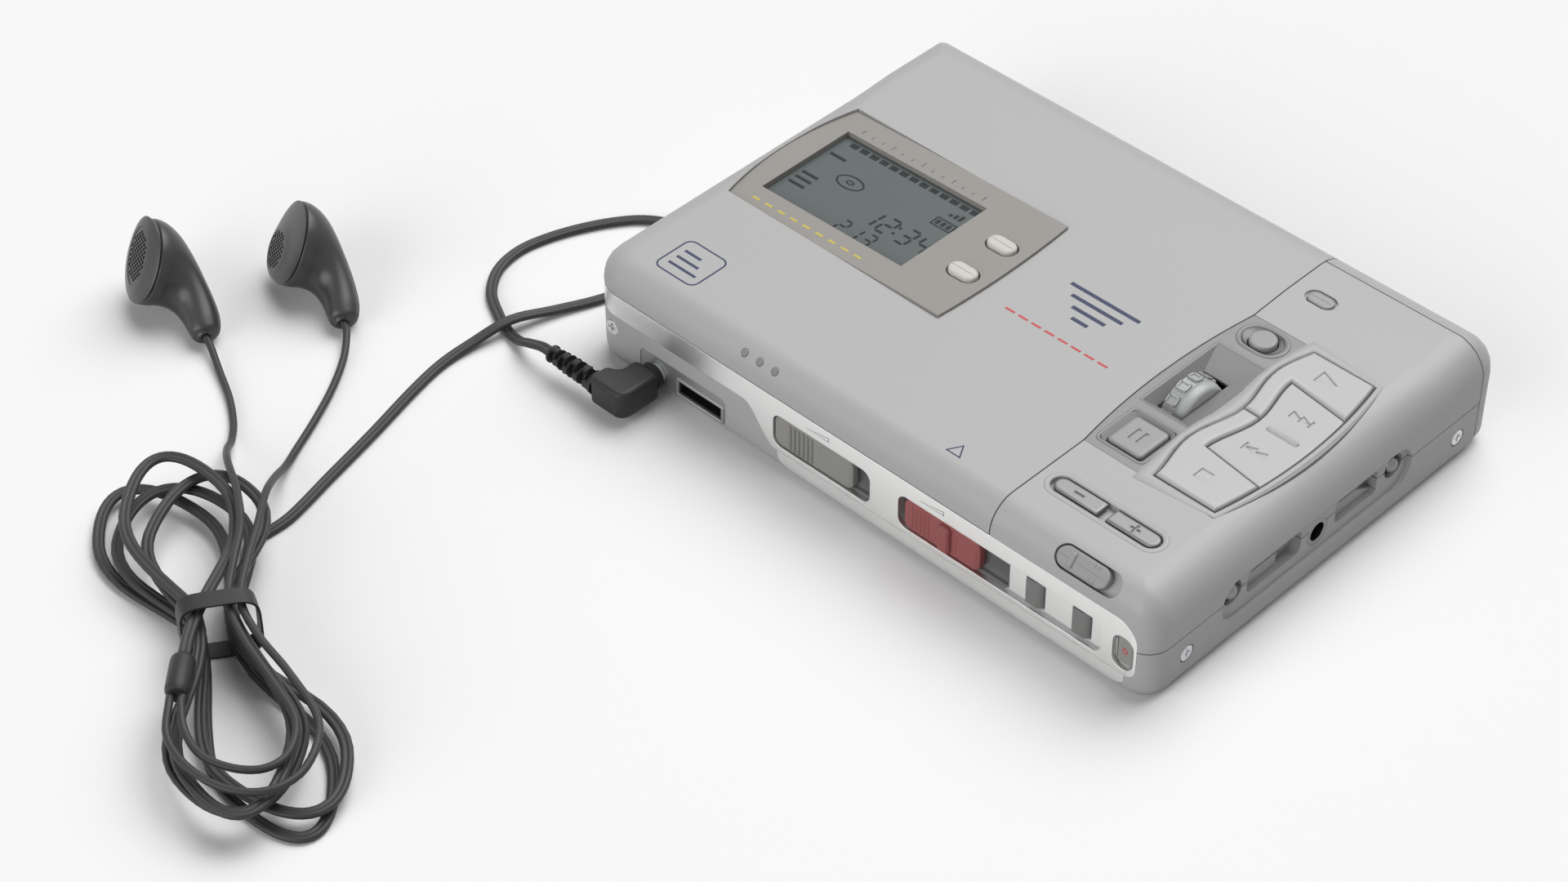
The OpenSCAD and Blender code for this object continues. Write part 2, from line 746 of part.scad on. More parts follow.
module search_rocker() {
    color(key_grey) {
        difference() {
            translate([0, 0, rocker_z0]) linear_extrude(rocker_z1 - rocker_z0) rocker_outline(0);
            translate([0, 0, rocker_z1 - mark_deep]) linear_extrude(1) {
                for (k = [0, 1.9]) triangle_mark([lid_x + 17.8 + k, 4.3], 0.9, 0);
                for (k = [0, 1.9]) triangle_mark([lid_x + 17.8 + k, -5.4], 0.9, 1);
                translate([lid_x + 20.7, 3.5]) square([0.35, 1.6]);
                translate([lid_x + 16.5, -6.2]) square([0.35, 1.6]);
            }
        }
        rod_x(rocker_x0 + 0.6, rocker_x1 - 0.8, rocker_y + 0.2, rocker_z1, 0.4);
        rod_x(rocker_x0, rocker_x1, rocker_y, rocker_floor, rocker_pin_r);
        box([rocker_x0, rocker_y - 0.5, rocker_floor], [rocker_x1, rocker_y + 0.5, rocker_z0 + eps]);
        for (p = rocker_stems) translate([p.x, p.y, switch_z])
            cylinder(r = stem_r - 0.2, h = rocker_z0 - switch_z + eps);
    }
}

module pause_key() {
    color(key_grey) {
        difference() {
            translate([pause_c.x, pause_c.y, key_z0]) linear_extrude(pause_z1 - key_z0)
                round_rect(-pause_s / 2, pause_s / 2, 0.6);
            for (x = [-0.8, 0.8]) translate([pause_c.x + x, pause_c.y, pause_z1 - mark_deep])
                linear_extrude(1) square([0.5, 2.6], center = true);
        }
        key_stems([pause_c], key_z0 + eps);
    }
}

module title_button() {
    color(key_grey) translate([title_c.x, title_c.y, 0]) {
        translate([0, 0, deck_z0]) cylinder(r = title_r, h = title_z1 - deck_z0 - 0.5);
        translate([0, 0, title_z1 - 0.5]) cylinder(r1 = title_r, r2 = title_r - 0.5, h = 0.5);
        translate([0, 0, switch_z]) cylinder(r = title_stem_r, h = deck_z0 - switch_z + eps);
    }
}

module jog_dial() {
    hub_r = dial_r - pad_h;
    color(key_grey) difference() {
        union() {
            rod_x(dial_x0, dial_x0 + dial_w, dial_y, dial_z, hub_r);
            for (k = [0:dial_pads - 1])
                translate([dial_x0, dial_y, dial_z]) rotate([k * 360 / dial_pads, 0, 0])
                box([0.3, -pad_w / 2, hub_r - 0.3], [dial_w * 0.55, pad_w / 2, dial_r - 0.03]);
        }
        rod_x(dial_x0 - 1, dial_x0 + dial_w + 1, dial_y, dial_z, axle_r + fit);
    }
}

module jog_axle() {
    color(steel) rod_x(lid_x + 0.2, axle_end_x, dial_y, dial_z, axle_r);
}

// Upper case over the controls

volume_y = yf + 10.35;
volume_c = [lid_x + 11.7, volume_y];
volume_s = [19.2, 3.4];
volume_floor = zt - 0.9;
volume_z0 = zt - 0.35;
volume_z1 = zt + 0.25;
volume_xs = [lid_x + 6.9, lid_x + 16.85];
lamp_c = [lid_x + 5, yb - 12.85];
lamp_s = [4.5, 2.6];
lamp_z1 = zt + rise(lamp_c.y) - 0.05;
partition_t = 1;
key_board_z1 = switch_z - 0.9;
key_board_t = 0.8;
key_board_posts = [[xr - 5.2, yf + 5.5], [xr - 5.2, yb - 13], [lid_x + 3, yb - 18]];

module upper_case() {
    color(body_grey) difference() {
        intersection() {
            case_form(0);
            box([lid_x, -far, case_split_z + seam / 2], [far, door_y - seam, far]);
        }
        difference() {
            case_form(wall);
            box([lid_x - 1, yf, 0], [xr - corner_fr, wall_back_y, plate_z1 + 0.6]);
            dock_backing(case_split_z, 13.2);
            box([lid_x, yf, case_split_z], [lid_x + partition_t, yb, inner_top]);
            box([volume_c.x - 11, volume_y - 3, inner_top - 0.6], [volume_c.x + 11, volume_y + 3, zt]);
            for (p = key_board_posts) translate([p.x, p.y, key_board_z1 + joint_gap])
                cylinder(r = boss_r, h = 9);
            on_front_slope()
                box([hold_x - 8, -hold_floor - 0.5, -3], [hold_x + 8, -hold_floor + 1.2, 3]);
        }
        translate([0, 0, deck_z0 - joint_gap]) linear_extrude(far) deck_outline(joint_gap);
        pill(volume_c, volume_s, volume_floor, far);
        for (x = volume_xs) translate([x, volume_y, deck_z0]) cylinder(r = stem_r + stem_gap, h = deck_t + 1);
        pill(lamp_c, lamp_s + [0.8, 0.6], lamp_z1 - 0.3, far);
        pill(lamp_c, lamp_s + 2 * [joint_gap, joint_gap], inner_top - 2, far);
        rod_x(lid_x - 1, lid_x + 2, dial_y, dial_z, axle_r + joint_gap);
        front_cuts();
        side_cuts();
        on_front_slope() {
            from_front(-front_r - 2, -hold_floor)
                translate([hold_x, 0]) pill_2d([hold_slot_l, hold_slot_w]);
            from_front(-front_r - 2, -hold_floor + 3) hold_stem(hold_travel, play);
        }
    }
}

module hold_stem(travel, g) {
    translate([hold_x0 + 2.5 - g, -0.8 - g]) square([3 + travel + 2 * g, 1.6 + 2 * g]);
}

module hold_slider() {
    x0 = hold_x0 + play;
    color(slider_grey) on_front_slope() {
        from_front(-front_r + 0.1, -hold_floor - 0.15)
            translate([x0 + hold_l / 2, 0]) pill_2d([hold_l, hold_w]);
        box([x0 + 2.1, -front_r - 0.25, -hold_w / 2 + 0.3], [x0 + 3.1, -front_r + 0.3, hold_w / 2 - 0.3]);
        from_front(-hold_floor - 0.3, -hold_floor + 1.5) hold_stem(0, 0);
        box([hold_x0 + 2, -hold_floor + 1.4, -1.1], [hold_x0 + 6, -hold_floor + 2, 1.8]);
    }
}

module volume_key(x, side) {
    color(key_grey) {
        difference() {
            translate([x, volume_y, volume_z0]) linear_extrude(volume_z1 - volume_z0) {
                pill_2d([volume_w, volume_d]);
                translate([side > 0 ? -volume_w / 2 : 0, -volume_d / 2]) square([volume_w / 2, volume_d]);
            }
            translate([x, volume_y, volume_z1 - mark_deep]) linear_extrude(1) {
                square([1.8, 0.45], center = true);
                if (side > 0) square([0.45, 1.8], center = true);
            }
        }
        key_stems([[x, volume_y]], volume_z0 + eps);
    }
}

module volume_down_key() {
    volume_key(volume_xs[0], -1);
}

module volume_up_key() {
    volume_key(volume_xs[1], 1);
}

module rec_lamp() {
    color([0.75, 0.72, 0.72]) pill(lamp_c, lamp_s, inner_top - 1.5, lamp_z1);
}

module key_board() {
    leaf_y = wall_back_y + 1.6;
    z0 = key_board_z1 - key_board_t;
    x1 = xr - wall - dock_pad - 0.6;
    volume_stems = [for (x = volume_xs) [x, volume_y]];
    color(board_green) {
        difference() {
            box([lid_x + 1.4, leaf_y, z0], [x1, door_y - 1.5, key_board_z1]);
            box([lid_x, dial_y - dial_r - 1, z0 - 1],
                [axle_end_x + 0.6, dial_y + dial_r + 1, key_board_z1 + 1]);
        }
        box([end_key_x - 3, leaf_y, slot_z0], [x1, leaf_y + 0.6, z0 + eps]);
        for (p = concat(play_stems, stop_stems, rocker_stems, [pause_c, title_c], volume_stems))
            translate([p.x, p.y, key_board_z1 - eps]) cylinder(r = 1.5, h = 0.4);
    }
}

// Front plate and its sliders

module front_plate() {
    color(plate_white) {
        difference() {
            plate_zone(plate_t, 0);
            from_front(yf - 1, yf + plate_t + 1) slot_outline(open_x0, open_x0 + open_l, 0);
            from_front(yf - 1, yf + plate_t + 1) slot_outline(rec_x0, window_x1, 0);
            from_front(yf - 1, yf + plate_t + 1) slot_outline(erase_x0, erase_x1, 0);
        }
        difference() {
            from_front(yf + panel_in, yf + plate_t) translate([rec_x0 + rec_l, panel_z0])
                square([window_x1 - rec_x0 - rec_l + 0.2, slot_z1 - panel_z0 + 0.2]);
            for (x = [end_key_x, mark_key_x])
                from_front(yf - 1, yf + 2) side_key_outline(x, side_key_w, side_key_h, side_key_z, play);
        }
    }
}

module slider_base(x0, l, stem_x) {
    h = slot_h - 2 * play;
    from_front(slide_y0, slide_y1)
        round_rect([x0, slot_z - h / 2], [x0 + l, slot_z + h / 2], slot_r - play);
    from_front(slide_y1 - eps, keeper_y0 + eps) stem_outline(stem_x, 0, 0);
    box([stem_x - 3, keeper_y0, slot_z - 2.4], [stem_x + 3, keeper_y0 + keeper_t, slot_z + 2.4]);
}

open_slide_l = open_l - open_travel - 2 * play;
rec_slide_l = rec_l - rec_travel - 2 * play - 1.6;
rib_h = slot_h - 1.4;

module slide_rib(x, w) {
    box([x, yf + 0.02, slot_z - rib_h / 2], [x + w, slide_y0 + 0.2, slot_z + rib_h / 2]);
}

module open_slider() {
    x0 = open_x0 + play;
    color(slider_grey) {
        slider_base(x0, open_slide_l, open_stem_x);
        for (k = [0:4]) slide_rib(x0 + 3.2 + k, 0.5);
        box([open_stem_x + 2.9, keeper_y0, slot_z - 1],
            [open_x0 + open_l - open_travel - 0.6, keeper_y0 + keeper_t, slot_z + 1]);
    }
}

module rec_slider() {
    x0 = rec_x0 + 1;
    color(rec_red) {
        slider_base(x0, rec_slide_l, rec_stem_x);
        slide_rib(x0 + 6.4, 2.6);
    }
}

module push_key(x, w, h, z, y0) {
    from_front(y0, wall_back_y + 0.3) side_key_outline(x, w, h, z, 0);
    from_front(wall_back_y + 0.2, wall_back_y + 0.8) side_key_outline(x, w + 1, h + 1, z, 0);
}

module end_search_button() {
    color(dark_grey) push_key(end_key_x, side_key_w, side_key_h, side_key_z, yf + 0.1);
}

module track_mark_button() {
    color(dark_grey) push_key(mark_key_x, side_key_w, side_key_h, side_key_z, yf + 0.1);
}

module erase_button() {
    color(slider_grey) push_key(erase_key_x, erase_key_w, erase_key_h, slot_z, yf + 0.5);
}

// Lid and display

bezel_x0 = xl + 4.85;
bezel_x1 = bezel_x0 + bezel_w;
bezel_xc = (bezel_x0 + bezel_x1) / 2;
bezel_yc = -0.35;
bezel_bulge_l = 2;
bezel_bulge_r = 0.6;
bezel_rl = bow_r(bezel_d / 2, bezel_bulge_l);
bezel_rr = bow_r(bezel_d / 2, bezel_bulge_r);
bezel_t = 0.9;
lcd_x0 = xl + 7.35;
lcd_x1 = lcd_x0 + lcd_w;
lcd_yc = -0.45;
lcd_rim = 1;
glass_t = 0.6;
display_board_z = inner_top - 2.55;
display_board_t = 0.5;
display_boss = 0.9;
small_key_x = bezel_x1 - 4;
small_key_ys = [3.7, -4.85];
small_key_rise = 0.65;
pip_xs = [xl + 31.65, xl + 34.65, xl + 37.65];
pip_r = 0.65;
holder_t = 0.5;
holder_gap = 0.4;
bay_y = -1;
holder_z0 = hinge_z - 2.1;
holder_z1 = holder_z0 + 2 * holder_t + cart_h + 0.1;
holder_x0 = bay_x - cart_w / 2 - holder_gap - holder_t;
holder_x1 = bay_x + cart_w / 2 + holder_gap + holder_t;
holder_arm_xs = [holder_x0 + 5.5, holder_x1 - 7.5];
holder_y0 = bay_y - cart_d / 2;
holder_y1 = bay_y + cart_d / 2 + 0.6;
hook_x = lid_x - 20.8;
hook_w = 3;

module on_bezel() {
    translate([bezel_xc, 0, zt]) rotate([0, -bezel_tilt, 0]) children();
}

// Everything between two depths under the tilted bezel face
module bezel_layer(z0, z1) {
    on_bezel() box([-far, -far, z0], [far, far, z1]);
}

module bezel_outline(g) {
    intersection() {
        translate([bezel_x0 - bezel_bulge_l + bezel_rl, bezel_yc]) circle(bezel_rl + g, $fn = 240);
        translate([bezel_x1 + bezel_bulge_r - bezel_rr, bezel_yc]) circle(bezel_rr + g, $fn = 240);
        translate([bezel_x0 - 10, bezel_yc - bezel_d / 2 - g]) square([bezel_w + 20, bezel_d + 2 * g]);
    }
}

module lcd_opening(g, z0, z1) {
    box([lcd_x0 - g, lcd_yc - lcd_d / 2 - g, z0], [lcd_x1 + g, lcd_yc + lcd_d / 2 + g, z1]);
}

module small_key_holes(g) {
    for (y = small_key_ys)
        pill([small_key_x, y], [small_key_w + 2 * g, small_key_d + 2 * g], inner_top - 3, zt + 3);
}

module lid() {
    color(body_grey) {
        difference() {
            intersection() {
                case_form(0);
                union() {
                    box([-far, -far, lid_split_z], [lid_x - seam, far, far]);
                    rod_x(xl - 1, lid_x - seam, hinge_y, hinge_z, knuckle_r);
                }
            }
            difference() {
                case_form(wall);
                box([lid_x - seam - wall, -far, 0], [far, far, far]);
                translate([0, 0, deck_z0 - 0.7]) linear_extrude(far) deck_outline(seam + 1);
                box([bezel_x0 - bezel_bulge_l - 1.2, bezel_yc - bezel_d / 2 - 1, inner_top - display_boss],
                    [lcd_x1 + 3, bezel_yc + bezel_d / 2 + 1, zt]);
            }
            linear_extrude(far) deck_outline(seam);
            intersection() {
                translate([0, 0, inner_top - 2]) linear_extrude(far) bezel_outline(joint_gap);
                bezel_layer(-bezel_t - joint_gap, far);
            }
            lcd_opening(lcd_rim + joint_gap, inner_top - 3, zt + 1);
            small_key_holes(play);
            on_front_slope() for (x = pip_xs) rod_y(-front_r - 1, -front_r + 0.35, x, 0, pip_r);
            for (x = lug_xs) box([x - 0.4, hinge_y, 0], [x + lug_t + 0.4, yb + 1, hinge_z - 1.1]);
        }
        for (x = arm_xs) lid_arm(x);
    }
}

module lid_arm(x) {
    difference() {
        union() {
            rod_x(x, x + arm_t, hinge_y, hinge_z, barrel_r);
            box([x, hinge_y - 1.2, hinge_z], [x + arm_t, hinge_y + 1.4, inner_top]);
        }
        rod_x(x - 1, x + arm_t + 1, hinge_y, hinge_z, pin_r + fit);
    }
}

module hinge_pin() {
    color(steel) rod_x(lug_xs[0], lug_xs[1] + lug_t, hinge_y, hinge_z, pin_r);
}

module latch_hook() {
    y0 = wall_back_y + 0.45;
    y1 = y0 + 1;
    top = zt - front_r + sqrt(pow(front_r - wall, 2) - pow(yf + front_r - y0, 2)) - 0.1;
    color(slider_grey) {
        box([hook_x, y0, slot_z + 1.2], [hook_x + hook_w, y1, top]);
        box([hook_x, y0 - 0.3, slot_z + 1.2], [hook_x + hook_w, y0 + eps, slot_z + 2.2]);
    }
}

module disc_holder() {
    lip = 2.5;
    color(steel) {
        difference() {
            box([holder_x0, holder_y0, holder_z0], [holder_x1, holder_y1, holder_z1]);
            box([holder_x0 + holder_t, holder_y0 - 1, holder_z0 + holder_t],
                [holder_x1 - holder_t, holder_y1 - holder_t, holder_z1 - holder_t]);
            box([holder_x0 + lip, holder_y0 - 1, holder_z0 - 1],
                [holder_x1 - lip, holder_y1 - lip, holder_z0 + 1]);
            box([bay_x + 11.5, bay_y - 4, holder_z1 - 1], [bay_x + 33, bay_y + 4, holder_z1 + 1]);
        }
        for (x = holder_arm_xs) difference() {
            union() {
                rod_x(x, x + holder_arm_t, hinge_y, hinge_z, barrel_r);
                box([x, holder_y1 - eps, hinge_z - 0.9], [x + holder_arm_t, hinge_y, hinge_z + 0.9]);
            }
            rod_x(x - 1, x + holder_arm_t + 1, hinge_y, hinge_z, pin_r + fit);
        }
    }
}

module head_arm() {
    z0 = holder_z1 + joint_gap;
    color(steel) {
        box([bay_x + 12, bay_y - 2.5, z0], [bay_x + cart_w / 2, bay_y + 2.5, z0 + 0.5]);
        box([bay_x + 12.5, bay_y - 2, holder_z1 - holder_t + 0.05], [bay_x + 16.5, bay_y + 2, z0 + eps]);
    }
}

module lcd_bezel() {
    color(bezel_grey) difference() {
        intersection() {
            translate([0, 0, inner_top - 2]) linear_extrude(8) bezel_outline(0);
            bezel_layer(-bezel_t, 0);
        }
        lcd_opening(0, inner_top - 3, zt + 3);
        small_key_holes(play + 0.1);
    }
}

module lcd_window() {
    color([0.45, 0.48, 0.48]) intersection() {
        lcd_opening(lcd_rim, inner_top - 3, zt + 1);
        bezel_layer(-bezel_t - joint_gap - glass_t, -bezel_t - joint_gap);
    }
}

module lcd_panel() {
    color(dark_grey) {
        intersection() {
            lcd_opening(lcd_rim - 0.2, display_board_z, zt);
            bezel_layer(-far, -bezel_t - glass_t - 2 * joint_gap);
        }
        box([lcd_x0 - lcd_rim, lcd_yc - lcd_d / 2 - lcd_rim, display_board_z],
            [bezel_x1 - 0.6, lcd_yc + lcd_d / 2 + lcd_rim, display_board_z + display_board_t]);
    }
}

module small_key(y) {
    top = zt + (small_key_x - bezel_xc) * tan(bezel_tilt) + small_key_rise;
    c = [small_key_x, y];
    s = [small_key_w, small_key_d];
    color(off_white) {
        pill(c, s, inner_top - 0.6, top - 0.35);
        pill(c, s - [0.6, 0.6], top - 0.35 - eps, top);
        pill(c, s + [1.2, 1.2], inner_top - 0.6, inner_top - 0.15);
    }
}

module display_button() {
    small_key(small_key_ys[0]);
}

module mode_button() {
    small_key(small_key_ys[1]);
}

// Battery side

battery_x = lid_x + 6.6;
battery_z = wall + 0.1;
battery_y1 = door_y - 2;
battery_y0 = battery_y1 - battery_l;

module battery_door() {
    color(body_grey) {
        difference() {
            intersection() {
                case_form(0);
                union() {
                    box([lid_x, door_y, bottom_r], [far, far, far]);
                    difference() {
                        rod_x(lid_x, xr + 1, pivot_y, pivot_z, bottom_r);
                        box([lid_x - 1, -far, -1], [far, pivot_y, bottom_r]);
                    }
                }
            }
            case_form(wall);
        }
        for (x = pivot_arm_xs) {
            rod_x(x, x + pivot_arm_t, pivot_y, pivot_z, pivot_barrel_r);
            box([x, pivot_y, pivot_z - 0.5], [x + pivot_arm_t, yb - wall + 0.3, pivot_z + 0.5]);
        }
        rod_x(pivot_lug_xs[0], pivot_arm_xs[0] + eps, pivot_y, pivot_z, pivot_r);
        rod_x(pivot_arm_xs[1] + eps, pivot_lug_xs[1] + pivot_lug_t, pivot_y, pivot_z, pivot_r);
    }
}

module battery() {
    color([0.35, 0.38, 0.45]) {
        translate([0, battery_y1, 0]) rotate([90, 0, 0]) linear_extrude(battery_l)
            round_rect([battery_x, battery_z], [battery_x + battery_w, battery_z + battery_h], 1.2);
        rod_y(battery_y1 - eps, battery_y1 + 0.5, battery_x + battery_w / 2, battery_z + battery_h / 2, 2);
    }
}

module battery_contacts() {
    y1 = battery_y0 - 1.2;
    mid_z = battery_z + battery_h / 2;
    color(brass) {
        box([battery_x + 1, y1 - 0.4, wall + joint_gap], [battery_x + battery_w - 1, y1, mid_z + 4]);
        for (x = [4.5, battery_w - 4.5]) rod_y(y1 - eps, battery_y0 - joint_gap, battery_x + x, mid_z, 1.6);
    }
}

// Boards, jacks and fittings

module main_board() {
    color(board_green)
        box([xl + 2.4, jack_back + 0.6, board_z], [lid_x - 1.4, hinge_y - 3, board_z + board_t]);
}

module jack_block() {
    color(dark_grey) difference() {
        from_front(yf + 0.08, jack_back) jack_outline(0);
        rod_y(yf - 1, jack_back - 0.4, jack_x, jack_z, jack_r);
        box([jack_x + 4.4, yf - 1, 2.5], [jack_x + 13.1, yf + 5, 4.7]);
    }
}

module input_jacks() {
    x0 = xl + wall + 0.1;
    z0 = board_z + board_t + joint_gap;
    color(dark_grey) difference() {
        union() {
            box([x0, in_jack_ys[0] - 4, z0], [x0 + 11, in_jack_ys[1] + 4, holder_z0 - 0.5]);
            box([x0, dc_jack_y - 3.5, z0], [x0 + 9, dc_jack_y + 3.5, holder_z0 - 0.5]);
            jack_noses(xl + nose_in, x0 + 1, nose_t);
        }
        for (y = in_jack_ys) rod_x(xl - 1, x0 + 10.5, y, in_jack_z, jack_r);
        rod_x(xl - 1, x0 + 8, dc_jack_y, in_jack_z, dc_jack_r);
    }
}

module side_contacts() {
    inner = xr - wall - dock_pad;
    color(chrome) {
        for (y = contact_ys) {
            rod_x(inner, xr - dock_deep - 0.9, y, contact_z, contact_hole_r - joint_gap);
            translate([xr - dock_deep - 0.9, y, contact_z]) intersection() {
                sphere(r = 1.4);
                box([-eps, -2, -2], [2, 2, 2]);
            }
        }
        difference() {
            rod_x(inner, xr - dock_deep, insert_y, insert_z, insert_out);
            rod_x(inner - 1, xr, insert_y, insert_z, insert_r);
        }
    }
}

module screw_head(h) {
    difference() {
        cylinder(r = screw_r, h = h);
        for (a = [0, 90]) rotate([0, 0, a]) translate([-0.8, -0.18, h - 0.25]) cube([1.6, 0.36, 1]);
    }
}

module case_screws() {
    color(chrome) {
        translate([front_screw_x, yf + 0.68, front_screw_z]) rotate([90, 0, 0]) screw_head(0.6);
        for (y = side_screw_ys) {
            translate([xr - screw_sink + joint_gap, y, side_screw_z]) rotate([0, 90, 0]) screw_head(0.4);
            rod_x(xr - 2.5, xr - screw_sink + joint_gap + eps, y, side_screw_z, thread_r);
        }
        for (p = foot_screws) translate([p.x, p.y, screw_sink - joint_gap]) rotate([180, 0, 0])
            screw_head(0.36);
    }
}

// Disc drive under the bay

chassis_z0 = board_z + board_t + 0.4;
chassis_z1 = chassis_z0 + 1;
chassis_x0 = bay_x - 22.5;
chassis_x1 = lid_x - seam - wall - 0.1;
rod_ys = [bay_y - 9, bay_y + 9];
rod_z = 6;
rod_r = 0.75;
screw_y = bay_y + 13;
screw_z = 6.5;
lead_r = 0.9;
post_x0 = bay_x + 5.5;
post_x1 = bay_x + 36;
post_t = 1.5;
sled_x = bay_x + 9.7;
sled_l = post_x1 - 0.4 - sled_travel - sled_x;
sled_z0 = chassis_z1 + 0.6;
sled_z1 = 7.6;
shaft_r = 0.75;
motor_z1 = 7.1;

module drive_chassis() {
    color(steel) difference() {
        union() {
            box([chassis_x0, bay_y - 25, chassis_z0], [chassis_x1, bay_y + 32, chassis_z1]);
            for (x = [chassis_x0 + 3, chassis_x1 - 3], y = [bay_y - 21, bay_y + 28])
                translate([x, y, board_z + board_t + joint_gap]) cylinder(r = 2, h = 0.4);
            for (x = [post_x0, post_x1]) {
                for (y = rod_ys) box([x, y - 1.5, chassis_z1 - eps], [x + post_t, y + 1.5, rod_z + 1.5]);
                box([x, screw_y - 1.6, chassis_z1 - eps], [x + post_t, screw_y + 1.6, screw_z + 1.5]);
            }
        }
        for (y = rod_ys) rod_x(post_x0 - 1, post_x1 + post_t + 1, y, rod_z, rod_r + joint_gap);
        rod_x(post_x0 - 1, post_x1 + post_t + 1, screw_y, screw_z, lead_r + fit);
        box([chassis_x0 + 6, bay_y - 20, chassis_z0 - 1], [chassis_x0 + 11, bay_y + 24, chassis_z1 + 1]);
        box([sled_x, bay_y - 5, chassis_z0 - 1], [post_x1 - 2, bay_y + 5, chassis_z1 + 1]);
    }
}

module spindle_motor() {
    color(steel) translate([bay_x, bay_y, 0]) difference() {
        translate([0, 0, chassis_z1 + joint_gap])
            cylinder(r = motor_r, h = motor_z1 - chassis_z1 - joint_gap);
        translate([0, 0, chassis_z1 + 0.5]) cylinder(r = shaft_r + fit, h = 10);
    }
}

module turntable() {
    color(dark_grey) translate([bay_x, bay_y, 0]) {
        translate([0, 0, chassis_z1 + 0.8]) cylinder(r = shaft_r, h = motor_z1 - chassis_z1);
        translate([0, 0, motor_z1 + 0.25]) cylinder(r = 5.5, h = 0.9);
        translate([0, 0, motor_z1 + 1.15 - eps]) cylinder(r1 = 4.4, r2 = 3.9, h = 1.2);
    }
}

module guide_rods() {
    color(chrome) for (y = rod_ys) rod_x(post_x0, post_x1 + post_t, y, rod_z, rod_r);
}

module pickup_sled() {
    color(dark_grey) difference() {
        box([sled_x, bay_y - 11.5, sled_z0], [sled_x + sled_l, bay_y + 15, sled_z1]);
        for (y = rod_ys) rod_x(sled_x - 1, sled_x + sled_l + 1, y, rod_z, rod_r + fit);
        rod_x(sled_x - 1, sled_x + sled_l + 1, screw_y, screw_z, lead_r + fit);
    }
}

module pickup_lens() {
    color([0.5, 0.5, 0.6]) {
        translate([sled_x + sled_l / 2 - 2.5, bay_y - 2.5, sled_z1 + joint_gap]) cube([5, 5, 0.35]);
        translate([sled_x + sled_l / 2, bay_y, sled_z1 + 0.3]) cylinder(r = 1.6, h = 0.5);
    }
}

module lead_screw() {
    ridge = 0.12;
    color(steel) {
        rod_x(post_x0, post_x1 + post_t, screw_y, screw_z, lead_r - ridge);
        for (k = [0:14]) rod_x(post_x0 + 2 * k, post_x0 + 2 * k + 1, screw_y, screw_z, lead_r);
        rod_x(post_x1, post_x1 + post_t, screw_y, screw_z, lead_r);
    }
}

module sled_motor() {
    color(steel) {
        rod_x(bay_x - 9, post_x0 - joint_gap, screw_y, screw_z, 2.1);
        box([bay_x - 7, screw_y - 2, chassis_z1 + joint_gap], [bay_x + 3, screw_y + 2, screw_z]);
    }
}

// Earphone plug in the headphone jack

plug_half = 2.55;
plug_zh = 2.45;
plug_y0 = yf - 9.75;
plug_y1 = yf - 1.85;
collar_y1 = yf - 0.55;
relief_y = yf - 7.85;
relief_x0 = jack_x - 4.5;
relief_l = 9.8;

module plug_body() {
    color(cord_black) {
        translate([0, 0, jack_z - plug_zh]) linear_extrude(2 * plug_zh)
            round_rect([jack_x - plug_half, plug_y0], [jack_x + plug_half, plug_y1], 0.9);
        rod_y(plug_y1 - eps, collar_y1, jack_x, jack_z, 2.2);
        translate([0, 0, jack_z - plug_zh + 0.3]) linear_extrude(2 * plug_zh - 0.6)
            round_rect([relief_x0, plug_y0], [jack_x, relief_y + 2], 0.8);
    }
}

module plug_pin() {
    l = 12.4;
    color(brass) {
        rod_y(collar_y1, collar_y1 + l - 1.6, jack_x, jack_z, plug_r - 0.12);
        for (k = [0, 3.3, 6.6]) rod_y(collar_y1 + k, collar_y1 + k + 2.7, jack_x, jack_z, plug_r);
        translate([jack_x, collar_y1 + l - 1.6 - eps, jack_z]) rotate([-90, 0, 0])
            cylinder(r1 = plug_r - 0.12, r2 = 0.7, h = 1.6);
    }
}

module plug_relief() {
    color(cord_black) translate([relief_x0, relief_y, jack_z]) rotate([0, -90, 0]) difference() {
        cylinder(r1 = 1.9, r2 = 1.4, h = relief_l);
        for (k = [0:3], s = [-1, 1]) translate([s * 1.7, 0, 1.8 + 2 * k])
            cube([1.8, 6, 0.7], center = true);
    }
}

// Cord routes: centre lines through chosen points, rounded by a spline

function spline_at(p, i, t) =
    let (n = len(p) - 1, a = p[max(i - 1, 0)], b = p[i], c = p[min(i + 1, n)], d = p[min(i + 2, n)])
    b + 0.5 * t * ((c - a) + t * ((2 * a - 5 * b + 4 * c - d) + t * (3 * (b - c) + d - a)));
function spline(p, k) =
    concat([for (i = [0:len(p) - 2], j = [0:k - 1]) spline_at(p, i, j / k)], [p[len(p) - 1]]);
function unit(v) = v / norm(v);

// A tube round the points of a route, w wide and h high, with the given number of sides
module cord_tube(route, w, h, sides) {
    n = len(route);
    dirs = [for (i = [0:n - 1]) unit(route[min(i + 1, n - 1)] - route[max(i - 1, 0)])];
    across = [for (d = dirs) unit(cross(d, [0, 0, 1]))];
    rings = [for (i = [0:n - 1], k = [0:sides - 1])
        let (a = 360 * (k + 0.5) / sides)
        route[i] + across[i] * cos(a) * w / 2 + cross(across[i], dirs[i]) * sin(a) * h / 2];
    skin = [for (i = [0:n - 2], k = [0:sides - 1]) let (a = i * sides + k, b = i * sides + (k + 1) % sides)
        each [[a, b, b + sides], [a, b + sides, a + sides]]];
    ends = [[for (k = [sides - 1:-1:0]) k], [for (k = [0:sides - 1]) (n - 1) * sides + k]];
    polyhedron(rings, concat(skin, ends));
}

